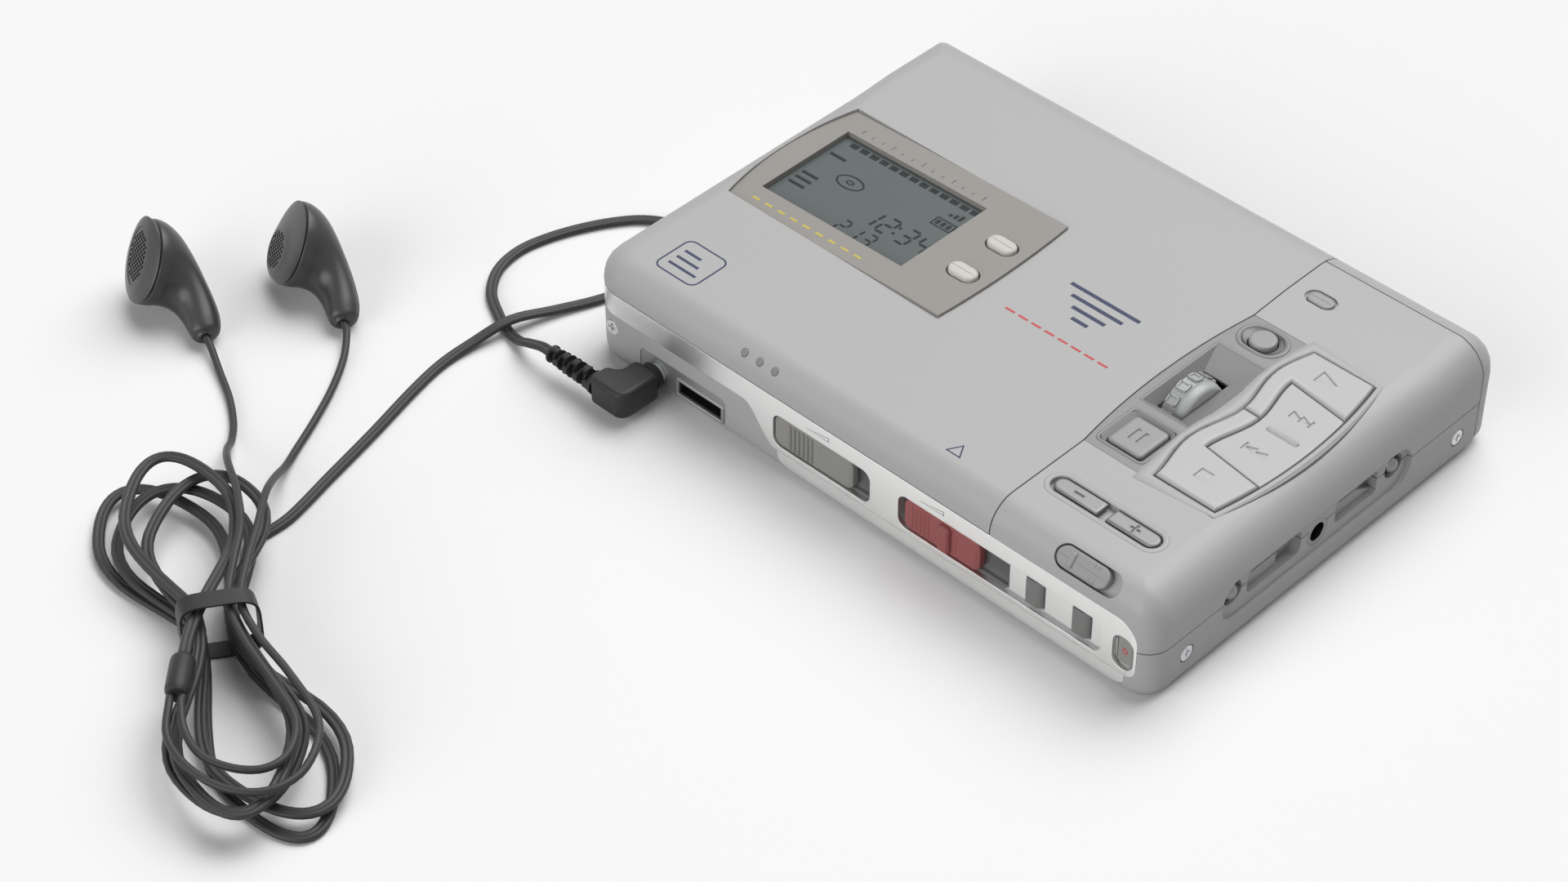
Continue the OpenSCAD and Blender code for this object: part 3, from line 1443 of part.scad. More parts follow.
// Free space between two flat cord sections at the given centres
function section_gap(a, b, w, h) =
    let (d = norm([a.x - b.x, a.y - b.y]), z = abs(a.z - b.z), k = norm([d / w, z / h]))
    norm([d, z]) * (1 - 1 / max(k, 0.01));
// Least gap of a route to itself, leaving out points that lie close along it
function least_gap(p, w, h, skip) =
    min([for (i = [0:len(p) - 1], j = [i + skip:1:len(p) - 1]) section_gap(p[i], p[j], w, h)]);

// Hank: waisted loops about a tie, each loop a layer over the one before, fanned about the tie
hank_c = [-44.5, -119.5];
hank_turn = -26.6;
hank_start = 116;
hank_waist = 2.3;
hank_lobe = 11.5;
hank_left = 32;
hank_right = 36;
hank_step = 1.7;
hank_lift = 1.3;
hank_rings = 24;
hank_fan = 0.16;

function hank_place(u, v, z) =
    let (c = cos(hank_turn), s = sin(hank_turn))
    [hank_c.x + u * c - v * s, hank_c.y + u * s + v * c, z];
function hank_point(s) =
    let (
        a = hank_start - 360 * s,
        c = abs(cos(a)),
        reach = cos(a) > 0 ? hank_right + 2 * cos(80 * s) : hank_left + 2.5 * sin(110 * s),
        u = reach * cos(a),
        fan = hank_fan * sin(95 * s) * u * smooth(2 * c),
        v = sin(a) * mix(hank_waist, hank_lobe, smooth(c / 0.75)) + fan,
        turn = floor(s + 0.001),
        z = hank_step * (turn + smooth(2 * (s - turn) - 1))
    )
    hank_place(u, v, cord_h / 2 + 0.02 + z + hank_lift * exp(-pow(u / 6, 2)));

splitter_u = [8.2, 15];
splitter_v = [-5.8, -8.3];
splitter_z = cord_h + hank_step * (hank_loops - 1) + 2.5;
splitter_r = 1.8;
splitter_a = hank_place(splitter_u[0], splitter_v[0], splitter_z);
splitter_b = hank_place(splitter_u[1], splitter_v[1], splitter_z);
splitter_dir = unit(splitter_b - splitter_a);

function bezier(a, b, c, d, t) =
    pow(1 - t, 3) * a + 3 * t * pow(1 - t, 2) * b + 3 * t * t * (1 - t) * c + pow(t, 3) * d;

hank_end = hank_point(hank_loops);
hank_end_dir = unit(hank_end - hank_point(hank_loops - 0.02));
hank_route = concat(
    [for (i = [0:hank_loops * hank_rings]) hank_point(i / hank_rings)],
    [for (i = [1:10]) bezier(
        hank_end, hank_end + 6 * hank_end_dir + [0, 0, 0.4],
        splitter_a - 11 * splitter_dir + [0, 0, 0.2], splitter_a - cord_w * splitter_dir, i / 10)],
    [splitter_a]
);
hank_dir = unit(hank_point(0.02) - hank_point(0));

relief_end = [relief_x0 - relief_l, relief_y, jack_z];
table_z = cord_h / 2 + 0.02;
run_points = concat(
    [relief_end, relief_end - [2.2, 0, 0]],
    [
        [-59.6, -47.2, 2.7], [-62.6, -46.6, 1.1], [-66, -45.7, table_z], [-70, -44, table_z],
        [-74.4, -41.3, table_z], [-77.7, -36.8, table_z], [-78.8, -31.5, table_z], [-78, -26.5, table_z],
        [-76.2, -21.5, table_z], [-73.6, -16.6, table_z], [-70.4, -12.6, table_z], [-66.2, -10.2, table_z],
        [-62.2, -10.8, table_z], [-59.4, -14, table_z], [-58.6, -19, table_z], [-59.6, -25.4, table_z],
        [-61.5, -31.5, table_z], [-64, -38, 1], [-66, -45, 2.1], [-67.2, -52, 1], [-67.3, -58, table_z],
        [-65.8, -65, table_z], [-63, -75, table_z], [-60.2, -86, table_z], [-57.8, -95.5, table_z]
    ],
    [hank_point(0) - 6 * hank_dir, hank_point(0) - cord_w * hank_dir, hank_point(0)]
);
run_route = spline(run_points, 2);

echo(hank_gap = least_gap(hank_route, cord_w, cord_h, 6));
echo(run_gap = least_gap(run_route, cord_w, cord_h, 6));

module cord_run() {
    color(cord_black) cord_tube(run_route, cord_w, cord_h, 8);
}

module cord_hank() {
    color(cord_black) cord_tube(hank_route, cord_w, cord_h, 6);
}

module in_hank(u) {
    translate([hank_c.x, hank_c.y, 0]) rotate([0, 0, hank_turn]) translate([u, 0, 0]) children();
}

tie_u = -2.8;
tie_w = 5.4;
tie_v0 = -4.4;
tie_v1 = 5.6;
tie_top = splitter_z + 1.7;
tie_t = 0.6;

module cord_tie() {
    color(cord_black) in_hank(tie_u) rotate([90, 0, 90]) linear_extrude(tie_w) difference() {
        round_rect([tie_v0 - tie_t, 0], [tie_v1 + tie_t, tie_top], 1.4);
        round_rect([tie_v0, tie_t], [tie_v1, tie_top - tie_t], 0.8);
    }
}

module cord_splitter() {
    l = norm(splitter_b - splitter_a);
    a = atan2(splitter_dir.y, splitter_dir.x);
    color(cord_black) translate(splitter_a) rotate([0, 90, a]) {
        cylinder(r1 = 1.25, r2 = splitter_r, h = 1.5);
        translate([0, 0, 1.5 - eps]) cylinder(r = splitter_r, h = l - 2.5);
        translate([0, 0, l - 1 - 2 * eps]) cylinder(r1 = splitter_r, r2 = 1.45, h = 1 + 2 * eps);
    }
}

// Earphones: the stem leaves the back of the head and lies down to the cord

left_ear = [-109.7, -78, 7.8];
right_ear = [-97.1, -59.8, 7.8];
right_turn = -7;
stem_dir = unit([0.83, -0.52, -0.2]);
face_dir = unit([-0.36, -0.82, 0.44]);
ear_x = stem_dir;
ear_z = unit(face_dir - (face_dir * stem_dir) * stem_dir);
ear_y = cross(ear_z, ear_x);
stem_root = [1.4, 0, -2.7];
stem_tip = [13, 0, -6.6];
stem_l = norm(stem_tip - stem_root);
stem_slope = atan((stem_root.z - stem_tip.z) / (stem_tip.x - stem_root.x));
wire_off = 0.8 * [-splitter_dir.y, splitter_dir.x, 0];

function about_z(v, a) = [v.x * cos(a) - v.y * sin(a), v.x * sin(a) + v.y * cos(a), v.z];
function ear_exit(c, turn, l) = let (p = stem_root + unit(stem_tip - stem_root) * l)
    c + about_z(ear_x * p.x + ear_z * p.z, turn);

wire_z = wire_d / 2 + 0.05;

left_points = concat(
    [splitter_b + wire_off, splitter_b + wire_off + 1.6 * splitter_dir],
    [for (p = [
        [21, -8.6, 7.8], [25.6, -7.4, 7.4], [29, -4, 7.2], [30.4, 0, 7.2], [28.6, 3.6, 7.2], [23, 5.8, 7.3],
        [15, 4.4, 7.7], [7, 2.6, 8.3], [0, 2.2, 8.7], [-7, 4.5, 9.1], [-14, 7.2, 9.2], [-22, 8.4, 8.6],
        [-30, 8.8, 6.8], [-36.5, 9.8, 3.4]]) hank_place(p[0], p[1], p[2])],
    [[-75.8, -91.3, 1.3], [-79.2, -88.2, wire_z], [-84, -85, wire_z], [-89.5, -82.3, 0.8]],
    [ear_exit(left_ear, 0, stem_l + 2), ear_exit(left_ear, 0, stem_l)]
);
right_points = concat(
    [splitter_b - wire_off, splitter_b - wire_off + 1.6 * splitter_dir],
    [for (p = [
        [21, -11, 7.8], [26.6, -9.8, 7.4], [32, -6, 7.2], [34.4, -0.6, 7.2], [32, 5, 7.2], [24.6, 8.6, 7.3],
        [15, 7, 7.7], [7, 4.6, 8.3], [0, 3.9, 8.7], [-7, 6.5, 9.1], [-14, 9.6, 8.8], [-21, 12.2, 7.6],
        [-27, 14.6, 4.6], [-32.6, 17.4, 1.4]]) hank_place(p[0], p[1], p[2])],
    [[-68.4, -85, wire_z], [-71, -79.7, wire_z], [-74.6, -73.2, wire_z], [-78.6, -67.4, 0.8]],
    [ear_exit(right_ear, right_turn, stem_l + 2), ear_exit(right_ear, right_turn, stem_l)]
);

module cord_left() {
    color(cord_black) cord_tube(spline(left_points, 3), wire_d, wire_d, 8);
}

module cord_right() {
    color(cord_black) cord_tube(spline(right_points, 3), wire_d, wire_d, 8);
}

module at_ear(c, turn) {
    translate(c) rotate([0, 0, turn]) multmatrix([
        [ear_x.x, ear_y.x, ear_z.x, 0],
        [ear_x.y, ear_y.y, ear_z.y, 0],
        [ear_x.z, ear_y.z, ear_z.z, 0],
        [0, 0, 0, 1]
    ]) children();
}

ear_dome = 6;
ear_rim = 1.2;

module ear_shell(c, turn) {
    color(cord_black) at_ear(c, turn) {
        rotate_extrude() polygon(concat(
            [[0, -ear_dome]], [for (a = [75:-15:15]) [ear_r * cos(a), -ear_dome * sin(a)]],
            [[ear_r, 0], [ear_r, ear_rim], [0, ear_rim]]
        ));
        translate(stem_root) rotate([0, 90 + stem_slope, 0]) {
            cylinder(r1 = 3.9, r2 = 2.3, h = stem_l - 1);
            translate([0, 0, stem_l - 1 - eps]) cylinder(r1 = 2.3, r2 = 1.4, h = 1 + eps);
        }
    }
}

module ear_cap(c, turn) {
    hole_r = 0.42;
    pitch = 1.5;
    color(dark_grey) at_ear(c, turn) difference() {
        translate([0, 0, ear_rim + joint_gap]) rotate_extrude() polygon(concat(
            [[0, 0], [ear_r - 0.15, 0]],
            [for (a = [20:17.5:90]) [(ear_r - 0.15) * cos(a), 1.5 * sin(a)]]
        ));
        for (i = [-2:2], j = [-2:2]) if (norm([i + j / 2, j * 0.866]) < 2.1)
            translate([pitch * (i + j / 2), pitch * j * 0.866, ear_rim + 0.6]) cylinder(r = hole_r, h = 4);
    }
}

module ear_shell_left() {
    ear_shell(left_ear, 0);
}

module ear_shell_right() {
    ear_shell(right_ear, right_turn);
}

module ear_cap_left() {
    ear_cap(left_ear, 0);
}

module ear_cap_right() {
    ear_cap(right_ear, right_turn);
}

lower_case();
upper_case();
front_plate();
lid();
hinge_pin();
latch_hook();
disc_holder();
head_arm();
lcd_bezel();
lcd_window();
lcd_panel();
display_button();
mode_button();
control_deck();
title_button();
jog_dial();
jog_axle();
pause_key();
play_key();
stop_key();
search_rocker();
volume_down_key();
volume_up_key();
rec_lamp();
hold_slider();
open_slider();
rec_slider();
end_search_button();
track_mark_button();
erase_button();
battery_door();
battery();
battery_contacts();
main_board();
key_board();
jack_block();
input_jacks();
side_contacts();
case_screws();
drive_chassis();
spindle_motor();
turntable();
guide_rods();
pickup_sled();
pickup_lens();
lead_screw();
sled_motor();
plug_body();
plug_pin();
plug_relief();
cord_run();
cord_hank();
cord_tie();
cord_splitter();
cord_left();
cord_right();
ear_shell_left();
ear_shell_right();
ear_cap_left();
ear_cap_right();
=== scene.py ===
import math

import bmesh
import bpy
from mathutils import Matrix, Vector
from mathutils.geometry import tessellate_polygon


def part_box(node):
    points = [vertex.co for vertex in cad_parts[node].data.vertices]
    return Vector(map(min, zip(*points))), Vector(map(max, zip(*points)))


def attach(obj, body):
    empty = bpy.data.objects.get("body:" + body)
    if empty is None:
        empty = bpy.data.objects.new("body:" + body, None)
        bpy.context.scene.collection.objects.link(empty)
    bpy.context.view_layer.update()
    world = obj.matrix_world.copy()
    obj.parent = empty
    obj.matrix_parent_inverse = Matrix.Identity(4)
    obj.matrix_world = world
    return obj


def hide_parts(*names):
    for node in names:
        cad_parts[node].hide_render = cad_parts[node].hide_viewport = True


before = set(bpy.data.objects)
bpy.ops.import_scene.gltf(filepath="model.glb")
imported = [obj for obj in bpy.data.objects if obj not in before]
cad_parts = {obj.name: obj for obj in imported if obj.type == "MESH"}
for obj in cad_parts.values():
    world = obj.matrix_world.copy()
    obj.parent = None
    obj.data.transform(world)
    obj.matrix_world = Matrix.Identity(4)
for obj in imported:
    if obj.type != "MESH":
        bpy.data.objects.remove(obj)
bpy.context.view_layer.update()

mm = 0.001


# Studio: a pale table top that runs out of the picture, under a soft light high behind the recorder
# and another in front. The table is white to the camera and keeps the shadows.

def tint(red, green, blue):
    """A colour as it is seen, 0 to 255, turned into light."""
    return (*(((c / 255 + 0.055) / 1.055) ** 2.4 for c in (red, green, blue)), 1.0)


class Look:
    """One socket of a finish. Arithmetic on it adds Math nodes, and make() adds any other node."""

    def __init__(self, tree, socket=None):
        self.tree, self.socket = tree, socket

    def make(self, kind, settings, sockets, out=0):
        node = self.tree.nodes.new("ShaderNode" + kind)
        for key, value in settings.items():
            setattr(node, key, value)
        for key, value in sockets.items():
            if isinstance(value, Look):
                self.tree.links.new(value.socket, node.inputs[key])
            else:
                node.inputs[key].default_value = value
        return Look(self.tree, node.outputs[out] if node.outputs else None)

    def math(self, operation, *values, clamp=False):
        settings = {"operation": operation, "use_clamp": clamp}
        return self.make("Math", settings, dict(enumerate(values)))

    def __add__(self, other):
        return self.math("ADD", self, other)

    def __sub__(self, other):
        return self.math("SUBTRACT", self, other)

    def __rsub__(self, other):
        return self.math("SUBTRACT", other, self)

    def __mul__(self, other):
        return self.math("MULTIPLY", self, other)

    __radd__, __rmul__ = __add__, __mul__

    def step(self, low, high):
        """0 below low, 1 above high, and a straight slope between."""
        return self.math("MULTIPLY", self - low, 1 / (high - low), clamp=True)

    def blend(self, first, second):
        """The first colour where this is 0, the second where it is 1."""
        return self.make("Mix", {"data_type": "RGBA"}, {0: self, 6: first, 7: second}, out=2)

    def vector(self, operation, other, out=0):
        return self.make("VectorMath", {"operation": operation}, {0: self, 1: other}, out=out)

    def noise(self, size, detail=2.0):
        """Noise over this place, with lumps of about that many millimetres."""
        return self.make("TexNoise", {}, {"Vector": self, "Scale": 1 / (size * mm), "Detail": detail})


def new_tree(holder):
    holder.use_nodes = True
    holder.node_tree.nodes.clear()
    return Look(holder.node_tree)


table_white = tint(247, 247, 247)
room_level, mirror_level = 0.06, 0.8
soft_boxes = (
    (Vector((-0.05, 0.54, 0.86)), 0.8, 4.79),
    (Vector((-0.05, -0.92, 0.3)), 0.8, 3.3))
world = bpy.data.worlds.new("studio")
bpy.context.scene.world = world
sky = new_tree(world)
toward = sky.make("TexCoord", {}, {}, out=0)
seen, glossy, through = (sky.make("LightPath", {}, {}, out=ray) for ray in (0, 3, 6))
lit = (glossy + through) * (mirror_level - room_level) + room_level
for way, spread, level in soft_boxes:
    lit = lit + toward.vector("DOT_PRODUCT", way.normalized(), out=1).step(spread, 1) * level
sky.make("OutputWorld", {}, {"Surface": sky.make("Background", {}, {
    "Color": seen.blend((1, 1, 1, 1), table_white), "Strength": lit * (1 - seen) + seen})})


def add_object(name, points, faces, finish):
    """A mesh object from points in millimetres."""
    mesh = bpy.data.meshes.new(name)
    mesh.from_pydata([Vector(p) * mm for p in points], [], faces)
    mesh.materials.append(finish)
    made = bpy.data.objects.new(name, mesh)
    bpy.context.scene.collection.objects.link(made)
    return made


table_paint = bpy.data.materials.new("table_paint")
tree = new_tree(table_paint)
fibre = tree.make("TexCoord", {}, {}, out=3).noise(0.8, 4)
seen, glossy = (tree.make("LightPath", {}, {}, out=ray) for ray in (0, 3))
tree.make("OutputMaterial", {}, {"Surface": tree.make("BsdfPrincipled", {}, {
    "Base Color": (seen + glossy).step(0, 1).blend(
        tint(192, 192, 192), fibre.blend(tint(245, 245, 245), table_white)),
    "Roughness": fibre * 0.1 + 0.7,
    "Specular IOR Level": 0.1,
})})
table_half, table_z = 1500, -0.05
table = add_object("table_top", [
    (x, y, table_z) for x, y in (
        (-table_half, -table_half), (table_half, -table_half),
        (table_half, table_half), (-table_half, table_half))], [(0, 1, 2, 3)], table_paint)

camera_at = Vector((263.86, -325.65, 363.5))
camera_azimuth, camera_elevation = math.radians(44.138), math.radians(41.832)
camera = bpy.data.objects.new("camera", bpy.data.cameras.new("camera"))
bpy.context.scene.collection.objects.link(camera)
camera.data.sensor_width = 36
camera.data.lens = 85.53
camera.data.clip_start, camera.data.clip_end = 0.01, 10
camera.location = camera_at * mm
camera_way = -Vector((
    math.sin(camera_azimuth) * math.cos(camera_elevation),
    -math.cos(camera_azimuth) * math.cos(camera_elevation),
    math.sin(camera_elevation)))
camera.rotation_mode = "QUATERNION"
camera.rotation_quaternion = camera_way.to_track_quat("-Z", "Y")
bpy.context.scene.camera = camera
bpy.context.scene.view_settings.view_transform = "Standard"


# Case: lower case, upper case over the controls, lid and battery door. They are moulded, and sprayed
# with a fine silver-grey satin lacquer that is a little paler where the edges are rubbed. Screws join
# the two halves, and the lid and the door swing on pins.

def moulded(name, colour, rough, metal=0.0, grain=0.16, relief=0.004, mottle=0.05,
            edge=0.12, worn=0.25, coat=0.0, gloss=0.3, drawn=(1, 1, 1)):
    """A moulded or sprayed surface: fine grain, faint patches, and soft edges rubbed paler."""
    made = bpy.data.materials.new(name)
    tree = new_tree(made)
    place = tree.make("TexCoord", {}, {}, out=3)
    patches = place.noise(7, 3)
    grit = place.vector("MULTIPLY", drawn).noise(grain)
    true_normal = tree.make("NewGeometry", {}, {}, out=1)
    soft_normal = tree.make("Bevel", {"samples": 4}, {"Radius": edge * mm})
    turned = true_normal.vector("DOT_PRODUCT", soft_normal, out=1)
    rubbed = (1 - turned).step(0.02, 0.3) * patches.step(0.35, 0.65) * worn
    darker = tuple(c * (1 - mottle) for c in colour[:3]) + (1.0,)
    paler = tuple(min(c * (1 + mottle), 1) for c in colour[:3]) + (1.0,)
    bare = tuple(min(c * 1.35 + 0.04, 1) for c in colour[:3]) + (1.0,)
    skin = rubbed.blend((patches * 0.6 + grit * 0.4).blend(darker, paler), bare)
    bumps = tree.make("Bump", {}, {
        "Strength": 0.5, "Distance": relief * mm, "Height": grit, "Normal": soft_normal})
    tree.make("OutputMaterial", {}, {"Surface": tree.make("BsdfPrincipled", {}, {
        "Base Color": skin,
        "Roughness": grit * 0.12 + patches * 0.08 + (rough - 0.1),
        "Metallic": metal,
        "Specular IOR Level": gloss,
        "Coat Weight": coat,
        "Normal": bumps,
    })})
    return made


smooth_edges = bpy.data.node_groups.new("smooth_edges", "GeometryNodeTree")
for way in ("INPUT", "OUTPUT"):
    smooth_edges.interface.new_socket("Geometry", in_out=way, socket_type="NodeSocketGeometry")
group_in = smooth_edges.nodes.new("NodeGroupInput")
group_out = smooth_edges.nodes.new("NodeGroupOutput")
round_faces = smooth_edges.nodes.new("GeometryNodeSetShadeSmooth")
round_edges = smooth_edges.nodes.new("GeometryNodeSetShadeSmooth")
round_edges.domain = "EDGE"
fold = smooth_edges.nodes.new("GeometryNodeInputMeshEdgeAngle")
blunt = smooth_edges.nodes.new("FunctionNodeCompare")
blunt.operation = "LESS_THAN"
blunt.inputs[1].default_value = math.radians(28)
for start, end in (
        (group_in.outputs[0], round_faces.inputs[0]),
        (round_faces.outputs[0], round_edges.inputs[0]),
        (fold.outputs[0], blunt.inputs[0]),
        (blunt.outputs[0], round_edges.inputs[2]),
        (round_edges.outputs[0], group_out.inputs[0])):
    smooth_edges.links.new(start, end)


def dress(finish, *nodes):
    """Gives CAD nodes their finish, and shades their curved faces smooth up to the real edges."""
    for node in nodes:
        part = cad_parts[node]
        part.data.materials.clear()
        part.data.materials.append(finish)
        weld = part.modifiers.new("weld", "WELD")
        weld.merge_threshold = 0.002 * mm
        part.modifiers.new("smooth", "NODES").node_group = smooth_edges
        weighted = part.modifiers.new("weighted", "WEIGHTED_NORMAL")
        weighted.keep_sharp = True
        weighted.weight = 80


top_z, front_y = 18.7, -39.45
case_lacquer = moulded("case_lacquer", tint(175, 175, 175), 0.5, metal=0.1, mottle=0.03)
dress(case_lacquer, "lower_case", "upper_case", "lid", "battery_door")


# Printing on the lid: thin inks laid on the lacquer in plain bars and outlines, navy and red, and
# three small pips set in its front slope.

def rounded(corners, steps=6):
    """A closed outline, its corners (x, y, radius) turned by arcs."""
    outline = []
    for i, (x, y, radius) in enumerate(corners):
        here = Vector((x, y))
        before = (Vector(corners[i - 1][:2]) - here).normalized() * radius
        after = (Vector(corners[(i + 1) % len(corners)][:2]) - here).normalized() * radius
        for k in range(steps + 1 if radius else 1):
            turn = math.pi / 2 * k / steps
            outline.append(here + before * (1 - math.sin(turn)) + after * (1 - math.cos(turn)))
    return outline


def block(x0, y0, x1, y1, radius=0.0):
    """A rectangle's outline with rounded corners."""
    return rounded([(x0, y0, radius), (x1, y0, radius), (x1, y1, radius), (x0, y1, radius)])


def inset(outline, depth):
    """The outline drawn in by a depth, or by one depth for each of its points."""
    depths = depth if isinstance(depth, list) else [depth] * len(outline)
    drawn = []
    for i, here in enumerate(outline):
        before, after = here - outline[i - 1], outline[(i + 1) % len(outline)] - here
        first = Vector((-before.y, before.x)).normalized()
        second = Vector((-after.y, after.x)).normalized()
        drawn.append(here + (first + second) * (depths[i] / max(1 + first.dot(second), 0.3)))
    return drawn


def loft(rings, round_trip=False):
    """Skin between rings of the same number of points, closed at its ends or round on itself."""
    count = len(rings[0])
    points = [p for ring in rings for p in ring]
    faces = [
        (i * count + k, i * count + (k + 1) % count,
         (i + 1) % len(rings) * count + (k + 1) % count, (i + 1) % len(rings) * count + k)
        for i in range(len(rings) if round_trip else len(rings) - 1) for k in range(count)]
    if not round_trip:
        faces += [tuple(reversed(range(count))), tuple(range(len(points) - count, len(points)))]
    return points, faces


def at_height(outline, z):
    return [Vector((p.x, p.y, z)) for p in outline]


def plate(outline, low, high):
    """A flat piece with square edges."""
    return loft([at_height(outline, low), at_height(outline, high)])


def band(outline, width, low, high):
    """A flat frame inside an outline."""
    inner = inset(outline, width)
    return loft([at_height(outline, low), at_height(outline, high), at_height(inner, high),
                 at_height(inner, low)], round_trip=True)


flat_rim = 0.02


def moulding(outline, low, high, edge, rise=None, steps=5):
    """A piece with upright sides and a rounded upper edge, edge wide and rise high."""
    rise = edge if rise is None else rise
    edges = edge if isinstance(edge, list) else [edge] * len(outline)
    rings = [at_height(outline, low)]
    for k in range(steps + 1):
        turn = math.pi / 2 * k / steps
        drawn_in = inset(outline, [e * (1 - math.cos(turn)) for e in edges])
        rings.append(at_height(drawn_in, high - rise * (1 - math.sin(turn))))
    return loft(rings + [at_height(inset(outline, [e + flat_rim for e in edges]), high)])


def joined(*forms):
    """Several forms as one."""
    points, faces = [], []
    for some_points, some_faces in forms:
        faces += [tuple(i + len(points) for i in face) for face in some_faces]
        points += some_points
    return points, faces


def stood(form, stand):
    """A form moved to where a matrix puts it."""
    return [stand @ Vector(p) for p in form[0]], form[1]


def add_piece(name, form, finish, body, stands_for=(), sharp=40):
    """A piece from points and faces in millimetres, smooth up to its sharp edges."""
    piece = add_object(name, *form, finish)
    shape = bmesh.new()
    shape.from_mesh(piece.data)
    bmesh.ops.recalc_face_normals(shape, faces=shape.faces)
    shape.to_mesh(piece.data)
    shape.free()
    piece.data.polygons.foreach_set("use_smooth", [True] * len(piece.data.polygons))
    piece.data.set_sharp_from_angle(angle=math.radians(sharp))
    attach(piece, body)
    if stands_for:
        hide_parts(*stands_for)
    return piece


ink_low, ink_high = -0.02, 0.015
on_top = Matrix.Translation((0, 0, top_z))
navy_ink = moulded("navy_ink", tint(62, 68, 96), 0.55, grain=0.08, worn=0)
red_ink = moulded("red_ink", tint(206, 84, 84), 0.55, grain=0.08, worn=0)
# Grey: print for the ticks on the bezel, and painted shade for the wedge outlines on the front plate.
grey_ink_and_groove_shade = moulded("grey_ink_and_groove_shade", tint(122, 122, 122), 0.55, grain=0.08, worn=0)


def print_on(name, outlines, ink, stand, body):
    """Flat marks of ink on a surface."""
    marks = [plate(outline, ink_low, ink_high) for outline in outlines]
    add_piece(name, stood(joined(*marks), stand), ink, body)


def dashes(x, y, long, thick, step, count, radius=0.0):
    """The outlines of a row of like dashes."""
    return [block(x + step * i, y, x + step * i + long, y + thick, radius) for i in range(count)]


stripe_y, stripe_step, stripe_thick = 4.4, 2.0, 0.7
stripe_ends = ((1.6, 14.6), (3.4, 13.0), (5.2, 11.4), (6.8, 9.8))
print_on("lid_stripes", [
    block(x0, stripe_y - stripe_step * i, x1, stripe_y - stripe_step * i + stripe_thick)
    for i, (x0, x1) in enumerate(stripe_ends)], navy_ink, on_top, "lid")
print_on("lid_red_dashes", dashes(-1.6, -6.3, 1.8, 0.4, 2.5, 8), red_ink, on_top, "lid")
bar_x, bar_thick, frame_line, arrow_line = -44.1, 0.5, 0.28, 0.22
corner_frame = band(block(-45.5, -34.6, -37.2, -26.6, 1.4), frame_line, ink_low, ink_high)
corner_bars = [
    plate(block(bar_x, y, x1, y + bar_thick), ink_low, ink_high)
    for x1, y in ((-38.6, -32.8), (-39.7, -31.1), (-40.8, -29.4))]
add_piece(
    "lid_corner_frame", stood(joined(corner_frame, *corner_bars), on_top), navy_ink, "lid")
arrow_outline = [Vector(p) for p in ((14.2, -32.4), (12.8, -34.9), (15.6, -34.9))]
add_piece(
    "lid_arrow", stood(band(arrow_outline, arrow_line, ink_low, ink_high), on_top), navy_ink, "lid")

slope_r, slope_tip = 4.5, math.radians(-42)
to_front = Matrix(((1, 0, 0, 0), (0, 0, -1, 0), (0, 1, 0, 0), (0, 0, 0, 1)))
on_slope = (
    Matrix.Translation((0, front_y + slope_r, top_z - slope_r))
    @ Matrix.Rotation(slope_tip, 4, "X") @ to_front)


def disc(x, y, radius, steps=20):
    return [Vector((x + radius * math.cos(2 * math.pi * k / steps),
                    y + radius * math.sin(2 * math.pi * k / steps))) for k in range(steps)]


pip_r, pip_sunk, pip_proud, pip_edge = 0.62, 0.34, 0.1, 0.22
pips = [
    moulding(disc(x, 0, pip_r), slope_r - pip_sunk, slope_r + pip_proud, pip_edge)
    for x in (-22.8, -19.8, -16.8)]
pip_grey = moulded("pip_grey", tint(140, 140, 140), 0.45)
add_piece("lid_pips", stood(joined(*pips), on_slope), pip_grey, "lid")


# Front plate: a thin bright silver pressing that wraps the front and holds the slots of the
# slide controls. It clips on behind the lid's lower edge and carries two small grey wedge outlines,
# painted shade that stands for the grooves of engraved wedges. It ends in a matt lip that is folded
# under along its foot; the lip's pale strip over the case's lower edge is partly painted light.

plate_silver = moulded(
    "plate_silver", tint(240, 240, 239), 0.36, metal=1.0, grain=0.1, relief=0.002, mottle=0.02)
dress(plate_silver, "front_plate")
on_front = Matrix.Translation((0, front_y, 0)) @ to_front
# The grey wedge outlines are painted shade, standing for the grooves of engraved wedges.
wedge_low, wedge_high, wedge_long, wedge_line = 11.75, 12.5, 4.6, 0.1
wedges = []
for x in (-9.6, 12.4):
    corners = (x, wedge_low), (x + wedge_long, wedge_low), (x + wedge_long, wedge_high)
    wedges.append(band([Vector(p) for p in corners], wedge_line, ink_low, ink_high))
add_piece("plate_wedge_shade", stood(joined(*wedges), on_front), grey_ink_and_groove_shade, "case")

# The lip is a pale strip over the case's lower front rounding: partly the plate's silver carried down,
# partly painted light on that edge.
lip_x0, lip_x1, lip_high, lip_thick = -15.2, 50.2, 3.84, 0.05
base_r, lip_steps, lip_turn = 2.6, 6, math.radians(7)
lip_line = [Vector((0, front_y, lip_high))]
for k in range(lip_steps):
    turn = lip_turn * k
    lip_line.append(Vector((
        0, front_y + base_r * (1 - math.cos(turn)), base_r * (1 - math.sin(turn)))))
lip_ends = []
for x, ease in ((lip_x0, 2.6), (lip_x1, -3.4)):
    outer, inner = (
        [p + Vector((x + ease * (k / lip_steps) ** 2, out, 0)) for k, p in enumerate(lip_line)]
        for out in (-lip_thick, lip_thick))
    lip_ends.append(outer + inner[::-1])
lip_silver_and_painted_light = moulded("lip_silver_and_painted_light", tint(222, 222, 221), 0.45, metal=0.5, grain=0.1, mottle=0.02)
add_piece("plate_lip_and_painted_light", loft(lip_ends), lip_silver_and_painted_light, "case", sharp=30)


# Display: a warm grey bezel sunk in the lid, a liquid-crystal window with dark segments, and two
# off-white push buttons. The bezel is glued in its pocket and lies a little lower at its left.

